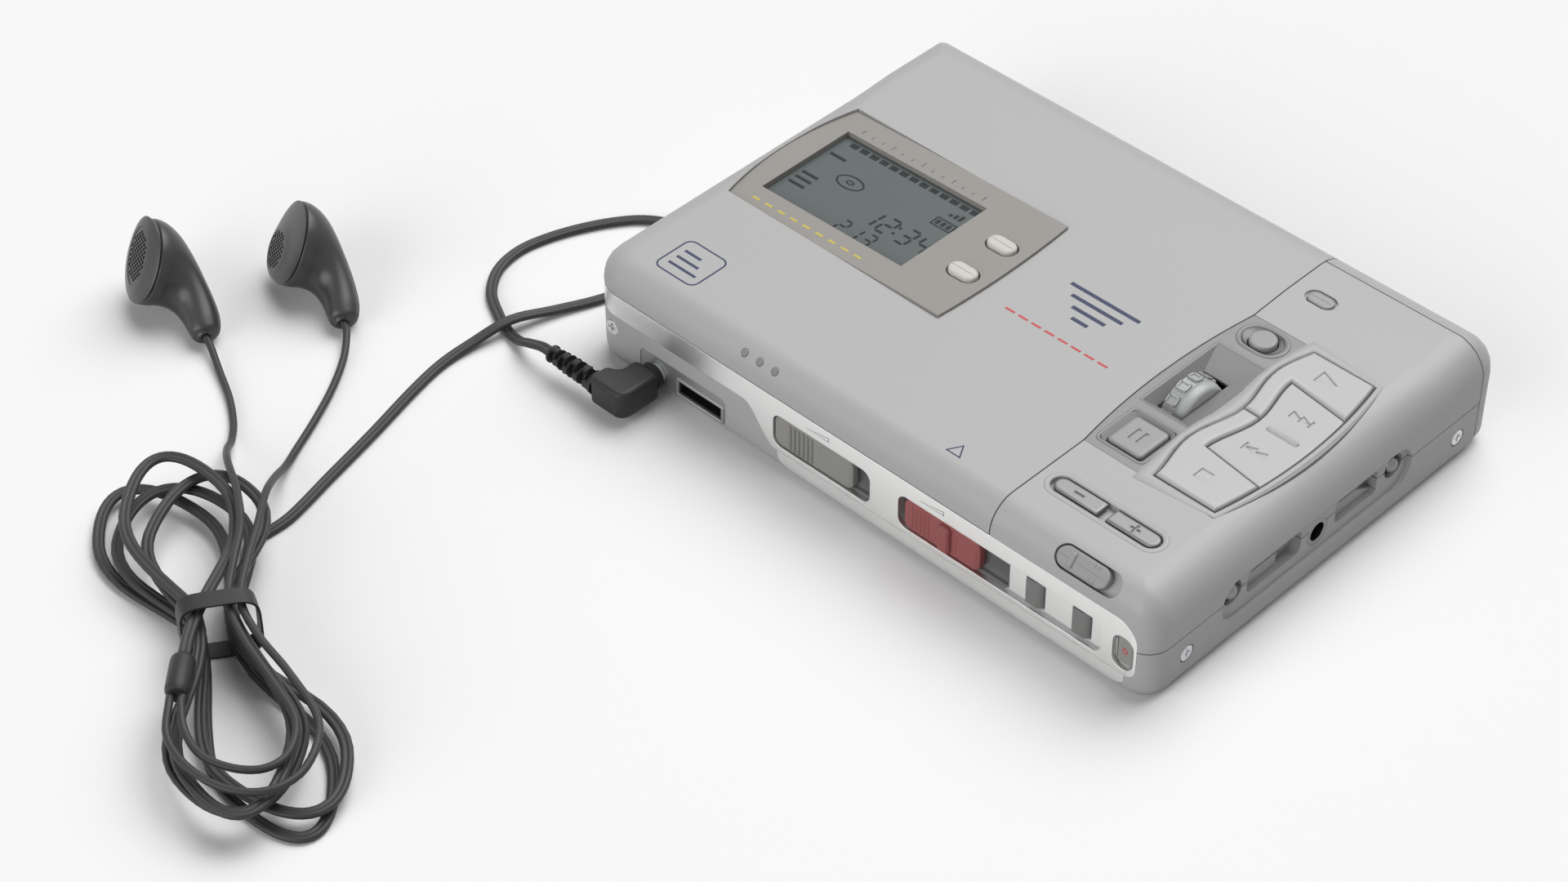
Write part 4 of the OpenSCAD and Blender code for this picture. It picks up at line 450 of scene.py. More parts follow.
bezel_lacquer = moulded("bezel_lacquer", tint(150, 147, 143), 0.5, metal=0.05, mottle=0.03)
dress(bezel_lacquer, "lcd_bezel")
window_glass = moulded(
    "window_glass", tint(99, 106, 106), 0.3, grain=0.3, relief=0.001, worn=0, gloss=0.12)
dress(window_glass, "lcd_window")
dress(moulded("panel_dark", tint(70, 72, 74), 0.5), "lcd_panel")
bezel_middle, bezel_tilt = -28.3, math.tan(math.radians(1.2))
on_bezel = Matrix((
    (1, 0, 0, 0), (0, 1, 0, 0), (bezel_tilt, 0, 1, top_z - bezel_middle * bezel_tilt), (0, 0, 0, 1)))
window_drop = 0.94
on_window = Matrix.Translation((0, 0, -window_drop)) @ on_bezel
yellow_ink = moulded("yellow_ink", tint(202, 186, 92), 0.5, grain=0.08, worn=0)
segment_dark = moulded("segment_dark", tint(46, 49, 50), 0.3, grain=0.3, worn=0, gloss=0.12)
print_on("bezel_dashes", dashes(-46.4, -12.85, 1.5, 0.45, 2.6, 9), yellow_ink, on_bezel, "lid")
tick_x, tick_y, tick_step, tick_count, tick_thick = -45.3, 10.0, 2.05, 13, 0.25
tick_short, tick_long = 0.6, 1.1
print_on("bezel_ticks", [
    block(tick_x + tick_step * i, tick_y, tick_x + tick_step * i + tick_thick,
          tick_y + (tick_short if i % 3 else tick_long))
    for i in range(tick_count)], grey_ink_and_groove_shade, on_bezel, "lid")

bar_half, bar_gap, lean = 0.24, 0.12, 0.1
bar_ends = {
    "a": ((0, 2), (1, 2)), "b": ((1, 2), (1, 1)), "c": ((1, 1), (1, 0)), "d": ((0, 0), (1, 0)),
    "e": ((0, 1), (0, 0)), "f": ((0, 2), (0, 1)), "g": ((0, 1), (1, 1))}
figure_bars = {"1": "bc", "2": "abged", "3": "abgcd", "4": "fgbc"}


def figure(number, x, y, width, height, thick=1.0):
    """The lit bars of one number of the display."""
    outlines = []
    for bar in figure_bars[number]:
        a, b = (
            Vector((x + u * width + lean * v * height / 2, y + v * height / 2))
            for u, v in bar_ends[bar])
        way = (b - a).normalized()
        side = Vector((-way.y, way.x)) * bar_half * thick
        a, b = a + way * bar_gap, b - way * bar_gap
        nib = way * bar_half * thick
        outlines.append([a, a + nib - side, b - nib - side, b, b - nib + side, a + nib + side])
    return outlines


def oval(x, y, across, deep, steps):
    return [Vector((x + across * p.x, y + deep * p.y)) for p in disc(0, 0, 1, steps)]


segments = dashes(tick_x, 7.2, 1.5, 1.0, tick_step, tick_count)
for y in (3.8, -2.4, -3.9, -5.4):
    segments += dashes(-46.2, y, 3.2, 0.6, 0, 1)
for i in range(3):
    segments += dashes(-22.6 + 0.9 * i, 4.7, 0.6, 0.6 + 0.4 * i, 0, 1)
cell_mark, cell_tip = block(-23.5, 1.5, -19.6, 3.6), block(-19.6, 2.2, -19.2, 2.9)
segments += dashes(-23.0, 2.0, 0.7, 1.1, 1.05, 3) + [cell_tip]
large_y, large_w, large_h = -5.2, 1.9, 3.8
for number, x in zip("1234", (-31.6, -28.5, -24.6, -21.5)):
    segments += figure(number, x, large_y, large_w, large_h)
for y in (-4.3, -2.7):
    segments += dashes(-25.9, y, 0.5, 0.5, 0, 1)
small_y, small_w, small_h, small_thick = -9.4, 1.5, 3.0, 0.8
for number, x in zip("213", (-33.3, -30.7, -28.1)):
    segments += figure(number, x, small_y, small_w, small_h, small_thick)
wheel_x, wheel_y = -38.8, 0.6
wheel_mark, wheel_hub = oval(wheel_x, wheel_y, 2.6, 1.6, 32), oval(wheel_x, wheel_y, 0.8, 0.5, 16)
rings = [
    band(outline, width, ink_low, ink_high)
    for outline, width in ((wheel_mark, 0.3), (wheel_hub, 0.25), (cell_mark, 0.25))]
print_on("display_segments", segments, segment_dark, on_window, "lid")
add_piece("display_rings", stood(joined(*rings), on_window), segment_dark, "lid")


def block_at(x, y, width, depth, radius=0.0):
    """The outline of a rectangle round its middle."""
    return block(x - width / 2, y - depth / 2, x + width / 2, y + depth / 2, radius)


button_white = moulded("button_white", tint(206, 204, 198), 0.42, mottle=0.02)
button_x, button_w, button_d, button_r, button_top = -11, 5, 2.95, 1.465, 19.71
brim_z, brim_thick, brim_out, brim_r = 16.9, 0.45, 1.2, 2
for node, y in (("display_button", 3.7), ("mode_button", -4.85)):
    cap = moulding(block_at(button_x, y, button_w, button_d, button_r), brim_z, button_top, 0.55, 0.4)
    brim = plate(
        block_at(button_x, y, button_w + brim_out, button_d + brim_out, brim_r),
        brim_z, brim_z + brim_thick)
    add_piece(node + "_cap", joined(cap, brim), button_white, node, (node,))


# Control deck: a satin grey moulding between lid and case, with wells for the keys, a sloped hollow
# for the jog dial and a round recess. Low rims run round its wells. It is screwed to the upper case.

deck_lacquer = moulded("deck_lacquer", tint(136, 136, 136), 0.42, metal=0.2, mottle=0.03)
dress(deck_lacquer, "control_deck")
key_low, key_high, group_low, group_high = 18.1, 19.2, -18.8, 16.7
band_width, key_gap = 3.1, 0.2
wave_middle, wave_swing, wave_long = 36.35, 0.85, 19.5
arc_x, arc_y, arc_r = -35.5, -1.2, 85
line_x, line_fall, outline_steps = 48.9, 0.1395, 12


def wave(y):
    return math.cos(2 * math.pi * y / wave_long)


def wave_x(y):
    """The wavy left edge of the key group."""
    return wave_middle + wave_swing * wave(y)


def right_x(y):
    """Its long arc on the right."""
    return arc_x + math.sqrt(arc_r ** 2 - (y - arc_y) ** 2)


def upward(edge, y0, y1):
    """Points of an edge from one y to another."""
    return [
        Vector((edge(y), y))
        for y in (y0 + (y1 - y0) * k / outline_steps for k in range(outline_steps + 1))]


def rocker_x(y):
    return wave_x(y) + band_width


def play_side(y):
    return rocker_x(y) - key_gap


def line_end(side, y):
    """Where the slanting line from the rocker's side meets the arc."""
    return y - line_fall * (line_x - side(y))


def bead(outline, width, low, high, steps=6):
    """A raised round rim inside an outline."""
    rings = []
    for k in range(steps + 1):
        turn = math.pi * k / steps
        rings.append(at_height(
            inset(outline, width * (1 - math.cos(turn)) / 2), low + (high - low) * math.sin(turn)))
    return loft(rings, round_trip=True)


group_left = upward(wave_x, group_high, group_low)
group_right = upward(right_x, group_low, group_high)
group_outline = group_left + group_right
ridge_gap = 0.28
ridge_width = [2.1 + 0.6 * wave(p.y) for p in group_left] + [0.95] * len(group_right)
ridge_height = [1.0] * len(group_left) + [0.6] * len(group_right)
ridge_rings = []
for share, height in (
        (0, -0.9), (0.05, -0.35), (0.16, 0), (0.34, 0.2), (0.55, 0.33), (0.74, 0.36), (0.9, 0.24),
        (0.98, 0.08), (1, -0.3)):
    across = inset(group_outline, [(share - 1) * w - ridge_gap for w in ridge_width])
    ridge_rings.append([
        Vector((p.x, p.y, top_z + height * h)) for p, h in zip(across, ridge_height)])
add_piece("key_ridge", loft(ridge_rings, round_trip=True), case_lacquer, "case")
rim_low = top_z - 0.05
deck_rims = [
    bead(outline, width, rim_low, top_z + rise) for outline, width, rise in (
        (block(25.7, 10.75, 34.1, 17.05, 3.1), 0.75, 0.2),
        (block(25.75, -18.75, 34.65, -9.55, 1.1), 0.6, 0.16),
        (block(25.2, -8.2, 34.9, 9.4, 0.4), 0.45, 0.1))]
well_lift, well_thick = 0.03, 0.2


def well(outer, inner, drop):
    """A sloping collar from a well's mouth down to the key in it."""
    under = top_z - drop - well_thick
    return loft([
        at_height(outer, top_z + well_lift), at_height(inner, top_z - drop), at_height(inner, under),
        at_height(outer, under)], round_trip=True)


pause_x, pause_y, title_x, title_y, title_r = 30.3, -14.2, 29.9, 13.9, 2.1
pause_mouth = block(pause_x - 3.95, pause_y - 3.95, pause_x + 3.75, pause_y + 4.05, 0.9)
pause_hole = block_at(pause_x, pause_y, 6.5, 7.1, 0.8)
title_mouth, title_hole = oval(title_x, title_y, 3.25, 2.5, 40), disc(title_x, title_y, 2.3, 40)
hollow_mouth, hollow_floor = block(25.62, -7.75, 34.45, 8.95), block(26.98, -6.1, 31.45, 4.35)
deck_rims += [
    well(pause_mouth, pause_hole, 0.5), well(title_mouth, title_hole, 0.4),
    well(hollow_mouth, hollow_floor, 1.5)]
add_piece("deck_rims", joined(*deck_rims), deck_lacquer, "case")


# Keys: play and stop halves round the search rocker, a square pause key and a round title button,
# moulded in pale grey with sunk marks. Each springs on the key board on stems through the deck.

key_lacquer = moulded("key_lacquer", tint(178, 178, 178), 0.44, metal=0.15, mottle=0.03)
switch_z, deck_low, stem_r = 14.1, 15.9, 1.0
mark_depth, mark_slope = 0.22, 0.1


def stems(places, low, radius=stem_r):
    """Round stems from a little inside a key's underside down to its switches."""
    return [plate(disc(x, y, radius), switch_z, low + 0.1) for x, y in places]


def sunk(form, marks):
    """A moulding with marks sunk in its flat top."""
    points, faces = list(form[0]), list(form[1])
    around = list(faces.pop())
    high = points[around[0]].z
    loops = [around]
    for mark in marks:
        first, count = len(points), len(mark)
        points += at_height(mark, high) + at_height(inset(mark, mark_slope), high - mark_depth)
        loops.append(list(range(first, first + count)))
        faces += [
            (first + k, first + (k + 1) % count, first + count + (k + 1) % count, first + count + k)
            for k in range(count)]
        faces.append(tuple(range(first + count, first + 2 * count)))
    numbered = [i for loop in loops for i in loop]
    flat = tessellate_polygon([[points[i] for i in loop] for loop in loops])
    return points, faces + [tuple(numbered[i] for i in corner) for corner in flat]


def turned_by(outline, x, y, way):
    """An outline moved to a place, and turned half round if way is -1."""
    return [Vector((x + way * a, y + way * b)) for a, b in outline]


play_outline = (
    upward(wave_x, group_high, 0.5) + upward(play_side, 0.5, 9.7)
    + upward(right_x, line_end(play_side, 9.7), group_high))
stop_outline = (
    upward(wave_x, 0.3, group_low) + upward(right_x, group_low, line_end(play_side, -9.5))
    + upward(play_side, -9.5, 0.3))
play_mark = turned_by(((1.8, 0), (-1.6, 1.35), (-1.6, -1.35)), 42.2, 13, 1)
corner_points = outline_steps + 1
play_edge = [0.45] * corner_points + [0.7] * (corner_points + 1) + [0.45] * outline_steps
add_piece("play_key_cap", joined(
    sunk(moulding(play_outline, key_low, key_high, play_edge, 0.55), [play_mark]),
    *stems(((42.8, 13.2), (37, 6.6)), key_low)),
    key_lacquer, "play_key", ("play_key",))
stop_edge = [0.45] * (2 * corner_points - 1) + [0.7] * (corner_points + 1)
add_piece("stop_key_cap", joined(
    sunk(moulding(stop_outline, key_low, key_high, stop_edge, 0.55), [block(41.1, -15.6, 43.3, -13.4)]),
    *stems(((42.8, -14.8), (37, -6.2)), key_low)),
    key_lacquer, "stop_key", ("stop_key",))

rocker_low, rocker_high, rocker_y, rocker_floor = 17.9, 18.78, -0.6, 17.3
rocker_outline = (
    upward(rocker_x, 9.5, -9.3)
    + upward(right_x, line_end(rocker_x, -9.3), line_end(rocker_x, 9.5)))
skip_outline = (
    (-1.9, -0.85), (-0.2, -0.12), (-0.2, -0.85), (1.5, -0.12), (1.5, -0.85), (1.9, -0.85),
    (1.9, 0.85), (1.5, 0.85), (1.5, 0.12), (-0.2, 0.85), (-0.2, 0.12), (-1.9, 0.85))
skip_marks = [turned_by(skip_outline, 44.4, 4.3, 1), turned_by(skip_outline, 43.8, -5.4, -1)]
pin_x0, pin_x1, pin_r, pin_steps, web_half = 41.4, 48.4, 0.7, 16, 0.5
pin_ends = [
    [Vector((x, rocker_y + p.x, rocker_floor + p.y)) for p in disc(0, 0, pin_r, pin_steps)]
    for x in (pin_x0, pin_x1)]
rocker_bar = moulding(
    block(42, -0.85, 47.6, 0.05, 0.44), rocker_high - 0.2, rocker_high + 0.35, 0.42)
add_piece("search_rocker_cap", joined(
    sunk(moulding(rocker_outline, rocker_low, rocker_high, 0.25, 0.2), skip_marks),
    rocker_bar, loft(pin_ends),
    plate(block(pin_x0, rocker_y - web_half, pin_x1, rocker_y + web_half), rocker_floor,
          rocker_low + 0.1),
    *stems(((44.8, 5.2), (44.8, -6.4)), rocker_low, 0.8)),
    key_lacquer, "search_rocker", ("search_rocker",))

pause_high = 18.8
pause_lacquer = moulded("pause_lacquer", tint(150, 150, 150), 0.44, metal=0.15, mottle=0.03)
pause_bars = [block_at(x, pause_y, 0.6, 2.6) for x in (pause_x - 0.7, pause_x + 0.7)]
pause_block = block_at(pause_x, pause_y, 6.2, 6.8, 0.8)
add_piece("pause_key_cap", joined(
    sunk(moulding(pause_block, key_low, pause_high, 0.6, 0.4), pause_bars),
    *stems([(pause_x, pause_y)], key_low)),
    pause_lacquer, "pause_key", ("pause_key",))

title_high = 19.2
add_piece("title_button_cap", joined(
    moulding(disc(title_x, title_y, title_r, 40), deck_low, title_high, 0.45, 0.28),
    *stems([(title_x, title_y)], deck_low, 1.1)),
    pause_lacquer, "title_button", ("title_button",))


# Jog dial: a moulded wheel on a steel axle across the hollow. Small square frames stand round its
# left half, and its right half is bevelled.

dial_x, dial_y, dial_z, dial_w, dial_bore, dial_pads = 27.2, -0.9, 13.7, 4, 0.84, 14


def lathe(profile, count=40, round_trip=False):
    """A turned form from its heights and radii along an axis."""
    return loft([at_height(disc(0, 0, r, count), z) for z, r in profile], round_trip)


wheel = lathe((
    (0, dial_bore), (0, 5.2), (0.08, 5.5), (0.25, 5.66), (2.3, 5.66), (2.45, 5.5), (2.7, 5.6),
    (3.6, 5.35), (3.9, 5.1), (dial_w, 4.8), (dial_w, dial_bore)), 72, round_trip=True)
along_x = Matrix.Translation((dial_x, dial_y, dial_z)) @ Matrix.Rotation(math.pi / 2, 4, "Y")
pad = block(-0.82, 0.3, 0.82, 2.2, 0.15)
pad_low, pad_high, pad_rim, pad_face = 5.4, 5.78, 0.3, 5.97
pad_form = joined(plate(pad, pad_low, pad_high), band(pad, pad_rim, pad_high - 0.08, pad_face))
pads = []
for k in range(dial_pads):
    turn = 2 * math.pi * k / dial_pads
    cos, sin = math.cos(turn), math.sin(turn)
    pads.append(stood(pad_form, Matrix((
        (0, 1, 0, dial_x), (-sin, 0, cos, dial_y), (cos, 0, sin, dial_z), (0, 0, 0, 1)))))
dial_lacquer = moulded("dial_lacquer", tint(178, 180, 179), 0.4, metal=0.1, mottle=0.03)
add_piece("jog_wheel", joined(stood(wheel, along_x), *pads), dial_lacquer, "jog_dial",
          ("jog_dial",))
steel = moulded("steel", tint(182, 184, 186), 0.34, metal=0.8, relief=0.001, drawn=(0.05, 1, 1))
dress(steel, "jog_axle")


# Volume keys, lamp and hold slider: two silvered key halves in a long recess of the upper case, a
# clouded lens over the lamp, and a ridged slider in a slot of the front slope. All are moulded.

volume_metal = moulded("volume_metal", tint(124, 124, 124), 0.34, metal=0.6, worn=0.5, edge=0.2)
volume_y, volume_low, volume_high, volume_w, volume_d = -29.1, 18.35, 18.95, 8.4, 2.7
blunt_r, round_r = 0, 1.34
arm, half = 0.85, 0.2
minus_mark = ((-arm, -half), (arm, -half), (arm, half), (-arm, half))
plus_mark = (
    (-arm, -half), (-half, -half), (-half, -arm), (half, -arm), (half, -half), (arm, -half),
    (arm, half), (half, half), (half, arm), (-half, arm), (-half, half), (-arm, half))
for node, x, left_r, right_r, mark in (
        ("volume_down_key", 32.3, round_r, blunt_r, minus_mark),
        ("volume_up_key", 42.25, blunt_r, round_r, plus_mark)):
    x0, x1 = x - volume_w / 2, x + volume_w / 2
    y0, y1 = volume_y - volume_d / 2, volume_y + volume_d / 2
    outline = rounded([(x0, y0, left_r), (x1, y0, right_r), (x1, y1, right_r), (x0, y1, left_r)])
    add_piece(node + "_cap", joined(
        sunk(moulding(outline, volume_low, volume_high, 0.4, 0.3), [turned_by(mark, x, volume_y, 1)]),
        *stems([(x, volume_y)], volume_low)), volume_metal, node, (node,))
volume_rim_outline = block(26.6, -31.7, 47.6, -26.5, 2.55)
add_piece("volume_rim", bead(volume_rim_outline, 0.85, rim_low, top_z + 0.13), case_lacquer, "case")

lamp_lens = moulded("lamp_lens", tint(156, 154, 154), 0.3, coat=0.15, grain=0.5, mottle=0.08)
lamp_box, lamp_low, lamp_high = block(28.17, 25.32, 32.63, 27.88, 1.27), 16.0, 19.2
add_piece("lamp_lens", moulding(lamp_box, lamp_low, lamp_high, 0.5, 0.18), lamp_lens, "case",
          ("rec_lamp",))

slider_grey = moulded("slider_grey", tint(145, 144, 141), 0.46)
hold_x0, hold_l, hold_half, hold_floor, hold_r = 36.3, 9.0, 1.6, 2.9, slope_r - 0.08
hold_lines = dashes(hold_x0 + 5.9, -1.3, 0.3, 2.6, 0.8, 2)
hold_forms = joined(
    moulding(block(hold_x0, -hold_half, hold_x0 + hold_l, hold_half, hold_half - 0.01),
             hold_floor + 0.15, hold_r, 0.3),
    moulding(block(hold_x0 + 2.1, -1.2, hold_x0 + 3.1, 1.2, 0.3), hold_r - 0.2, hold_r + 0.42, 0.3),
    *[plate(line, hold_r - 0.2, hold_r + 0.12) for line in hold_lines])
bowed = [
    Vector((p.x, p.y, p.z - (hold_r - math.sqrt(hold_r ** 2 - p.y ** 2)))) if p.z > hold_r - 0.5 else p
    for p in hold_forms[0]]
hold_stem = joined(
    plate(block(38.6, -0.8, 41.6, 0.8), hold_floor - 1.5, hold_floor + 0.3),
    plate(block(38.1, -1.1, 42.1, 1.8), hold_floor - 2, hold_floor - 1.4))
hold_grey = moulded("hold_grey", tint(160, 160, 160), 0.42)
add_piece("hold_slider_cap", stood(joined((bowed, hold_forms[1]), hold_stem), on_slope),
          hold_grey, "hold_slider", ("hold_slider",))


# Front controls: the ribbed lid release and the red record slider run in the plate's slots on
# keepers behind the wall, and three push keys stand beside them. All are moulded plastic, and the
# floors of the slots carry dark strips that are painted shade of the slot pockets.

slot_middle, slide_half, slide_r = 7.75, 2.75, 1.38
face_h, pocket_h, keeper_t = -0.15, -1.35, 0.75


def back_of(node):
    """How far behind the front a node reaches."""
    return front_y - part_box(node)[1][1] / mm


def slider_forms(node, x0, x1, stem_x):
    """A slider's face, its stem and its keeper."""
    back = back_of(node)
    return (
        moulding(block(x0, slot_middle - slide_half, x1, slot_middle + slide_half, slide_r),
                 pocket_h, face_h, 0.45, 0.35),
        plate(block_at(stem_x, slot_middle, 3, 2), back + keeper_t - 0.05, pocket_h + 0.05),
        plate(block_at(stem_x, slot_middle, 6, 4.8), back, back + keeper_t))


# Painted shade: dark sheets on the slot floors, where the pockets fall into shade.
slot_painted_shade = moulded("slot_painted_shade", tint(104, 104, 105), 0.36, metal=0.7)
strip_low, strip_high, strip_half, strip_r = -1.52, -1.42, 2.93, 1.58
shade_strips = [
    plate(block(x0, slot_middle - strip_half, x1, slot_middle + strip_half, strip_r),
          strip_low, strip_high) for x0, x1 in ((-16.08, 2.98), (8.42, 28.98))]
add_piece("slot_floors_painted_shade", stood(joined(*shade_strips), on_front), slot_painted_shade, "case")
open_x0, open_x1, open_stem = -15.9, -0.5, -10.1
open_ribs = [
    moulding(rib, face_h - 0.2, 0.12, 0.2)
    for rib in dashes(open_x0 + 2.9, 5.45, 0.5, 4.6, 0.85, 6, 0.2)]
open_pad = moulding(block(-7.0, 5.4, -0.95, 10.1, 1.15), face_h - 0.2, -0.03, 0.4, 0.12)
open_back = back_of("open_slider")
open_arm = plate(block(open_stem + 2.9, slot_middle - 1, -0.9, slot_middle + 1), open_back,
                 open_back + keeper_t)
add_piece("open_slider_cap", stood(joined(
    *slider_forms("open_slider", open_x0, open_x1, open_stem), *open_ribs, open_pad, open_arm),
    on_front), slider_grey, "open_slider", ("open_slider",))

rec_red = moulded("rec_red", tint(152, 84, 84), 0.45)
rec_x0, rec_x1, rec_stem = 9.4, 23.6, 15.4
rec_lines = [
    moulding(line, face_h - 0.2, face_h + 0.08, 0.1)
    for line in dashes(rec_x0 + 1.6, 5.6, 0.25, 4.3, 0.75, 5, 0.1)]
rec_ridge = moulding(block(16.2, 5.35, 18.4, 10.15, 0.6), face_h - 0.2, 0.75, 0.6, 0.8)
rec_end = moulding(block(19.3, 5.5, 23.1, 10.0, 1.1), face_h - 0.2, -0.03, 0.4, 0.12)
add_piece("rec_slider_cap", stood(joined(
    *slider_forms("rec_slider", rec_x0, rec_x1, rec_stem), *rec_lines, rec_ridge, rec_end),
    on_front), rec_red, "rec_slider", ("rec_slider",))

tall_key_grey = moulded("tall_key_grey", tint(122, 122, 121), 0.45)
standing = Matrix(((1, 0, 0, 0), (0, -1, 0, front_y), (0, 0, 1, 0), (0, 0, 0, 1)))


def pebble(outline, low, high, soft, steps=5):
    """A piece rounded along its lower and its upper edges."""
    rings = []
    for k in range(-steps, steps + 1):
        turn = math.pi / 2 * k / steps
        middle = low + soft if k < 0 else high - soft
        rings.append(at_height(
            inset(outline, soft * (1 - math.cos(turn))), middle + soft * math.sin(turn)))
        if k == 0:
            rings.insert(-1, at_height(outline, low + soft))
    inner = inset(outline, soft + flat_rim)
    return loft([at_height(inner, low)] + rings + [at_height(inner, high)])


flange_out, flange_thick = 0.5, 0.6


def flange(node, x0, y0, x1, y1):
    """The thin stop behind a push key."""
    back, out = back_of(node), flange_out
    outline = block(x0 - out, y0 - out, x1 + out, y1 + out, out)
    return stood(plate(outline, back, back + flange_thick), on_front)


tall_face, tall_half, tall_low, tall_high = 0.15, 1.55, 5.75, 10.45
for node, x in (("end_search_button", 33.75), ("track_mark_button", 42.1)):
    x0, x1, back = x - tall_half, x + tall_half, back_of(node) + 0.5
    outline = rounded([(x0, back, 0), (x1, back, 0), (x1, tall_face, 1.3), (x0, tall_face, 0.35)])
    add_piece(node + "_cap", joined(
        stood(pebble(outline, tall_low, tall_high, 0.3), standing),
        flange(node, x0, tall_low, x1, tall_high)),
        tall_key_grey, node, (node,))
erase_x, erase_box = 49.65, (48.3, 5.25, 51.0, 10.25)
add_piece("erase_button_cap", joined(
    stood(moulding(block(*erase_box, 0.5), back_of("erase_button") + 0.5, -0.5, 0.35), on_front),
    flange("erase_button", *erase_box)), slider_grey, "erase_button", ("erase_button",))
erase_ring = band(disc(erase_x, slot_middle, 0.5), 0.2, -0.55, -0.47)
add_piece("erase_ring", stood(erase_ring, on_front), red_ink, "erase_button")
dress(slider_grey, "latch_hook")


# Fittings: the metal surround of the jack and the black remote slot in the front, the jacks of the
# left side, the sprung contacts of the right side and the screws. They are pressed or turned in plated
# metal or moulded in black, and set in the walls.

jack_grey = moulded("jack_grey", tint(158, 159, 160), 0.35, metal=0.6)
dress(jack_grey, "jack_block")
jack_black = moulded("jack_black", tint(30, 30, 32), 0.4)
dress(jack_black, "input_jacks")
remote_x0, remote_x1, remote_z0, remote_z1, remote_deep = -35.49, -26.81, 2.51, 4.69, -4.98
remote_mouth = block(remote_x0, remote_z0, remote_x1, remote_z1)
remote_wall = band(remote_mouth, 0.15, remote_deep, -0.3)
remote_inner = plate(inset(remote_mouth, 0.1), remote_deep, remote_deep + 0.3)
remote_tongue = moulding(
    block(remote_x0 + 1, 3.1, remote_x1 - 1, 3.6), remote_deep + 0.2, -1.6, 0.2)
add_piece("remote_liner", stood(joined(remote_wall, remote_inner, remote_tongue), on_front),
          jack_black, "case")
add_piece("remote_rim", stood(bead(
    block(remote_x0 - 0.55, remote_z0 - 0.5, remote_x1 + 0.75, remote_z1 + 0.7, 0.5), 0.5, -0.12, 0.14),
    on_front), jack_grey, "case")
chrome = moulded("chrome", tint(205, 206, 208), 0.22, metal=1.0, relief=0.001)
dress(chrome, "case_screws", "guide_rods", "plug_pin")
dress(moulded("contact_steel", tint(128, 128, 130), 0.26, metal=1.0, relief=0.001), "side_contacts")


# Works under the lid: green boards with their tracks, a pressed steel holder and drive chassis, small
# motors, rods, a screw and a black sled with its lens, and a wrapped battery on brass contacts. They
# are screwed or clipped into the lower case, and the holder swings on the lid's pin.

dress(steel, "hinge_pin", "disc_holder", "head_arm", "drive_chassis", "spindle_motor", "lead_screw",
      "sled_motor")
dress(moulded("works_black", tint(48, 48, 50), 0.5), "turntable", "pickup_sled")
dress(moulded("lens_blue", tint(96, 104, 140), 0.12, coat=1.0), "pickup_lens")
board_green = bpy.data.materials.new("board_green")
tree = new_tree(board_green)
place = tree.make("TexCoord", {}, {}, out=3)
cells = tree.make("TexVoronoi", {"distance": "CHEBYCHEV"}, {"Vector": place, "Scale": 1 / (3.2 * mm)})
track = tree.math("FRACT", cells * 4).step(0.6, 0.66)
tree.make("OutputMaterial", {}, {"Surface": tree.make("BsdfPrincipled", {}, {
    "Base Color": track.blend(tint(26, 78, 52), tint(58, 122, 82)),
    "Roughness": place.noise(4) * 0.12 + 0.32,
    "Coat Weight": 0.3,
    "Normal": tree.make("Bump", {}, {"Strength": 0.5, "Distance": 0.03 * mm, "Height": track}),
})})
dress(board_green, "main_board", "key_board")
dress(moulded("battery_wrap", tint(92, 98, 112), 0.4), "battery")
brass = moulded("brass", tint(196, 164, 96), 0.3, metal=1.0)
dress(brass, "battery_contacts")


# Earphone cord: a flat twin cord from the plug, laid on the table and folded into a hank up to the
# splitter. It is extruded in soft charcoal rubber round two cores.

cord_rubber = moulded(
    "cord_rubber", tint(58, 58, 59), 0.42, grain=0.25, relief=0.004, worn=0.1, edge=0.05)
cord_width, cord_height, wire_width = 1.8, 1.0, 1.15
lie_z = cord_height / 2 + 0.02
wire_z = wire_width / 2 + 0.05
relief_end = Vector((-54.2, -47.3, 3.9))


def spline(points, count):
    """A smooth route through the points, with count steps from each to the next."""
    last = len(points) - 1
    route = []
    for i in range(last):
        a, b = points[max(i - 1, 0)], points[i]
        c, d = points[i + 1], points[min(i + 2, last)]
        for k in range(count):
            t = k / count
            route.append(b + 0.5 * t * (
                (c - a) + t * ((2 * a - 5 * b + 4 * c - d) + t * (3 * (b - c) + d - a))))
    return route + [points[last]]


def smooth(value):
    t = min(max(value, 0), 1)
    return t * t * (3 - 2 * t)


hank_centre, hank_turn, hank_start = Vector((-44.5, -119.5)), math.radians(-26.6), 116
hank_waist, hank_lobe, hank_left, hank_right = 2.3, 11.5, 32, 36
hank_step, hank_lift, hank_hump, hank_fan, hank_loops = 1.7, 1.3, 6, 0.16, 4
right_stray, left_stray = 2, 2.5
right_drift, left_drift, fan_drift = math.radians(80), math.radians(110), math.radians(95)


def in_hank(u, v, z):
    """A point given along and across the hank."""
    cos, sin = math.cos(hank_turn), math.sin(hank_turn)
    return Vector((hank_centre.x + u * cos - v * sin, hank_centre.y + u * sin + v * cos, z))


def hank_point(s):
    """The cord's centre after s loops of the hank."""
    angle = math.radians(hank_start - 360 * s)
    side = abs(math.cos(angle))
    reach = (hank_right + right_stray * math.cos(right_drift * s) if math.cos(angle) > 0
             else hank_left + left_stray * math.sin(left_drift * s))
    u = reach * math.cos(angle)
    fan = hank_fan * math.sin(fan_drift * s) * u * smooth(2 * side)
    width = hank_waist + (hank_lobe - hank_waist) * smooth(side / 0.75)
    turn = math.floor(s + 0.001)
    layer = hank_step * (turn + smooth(2 * (s - turn) - 1))
    hump = hank_lift * math.exp(-(u / hank_hump) ** 2)
    return in_hank(u, math.sin(angle) * width + fan, lie_z + layer + hump)


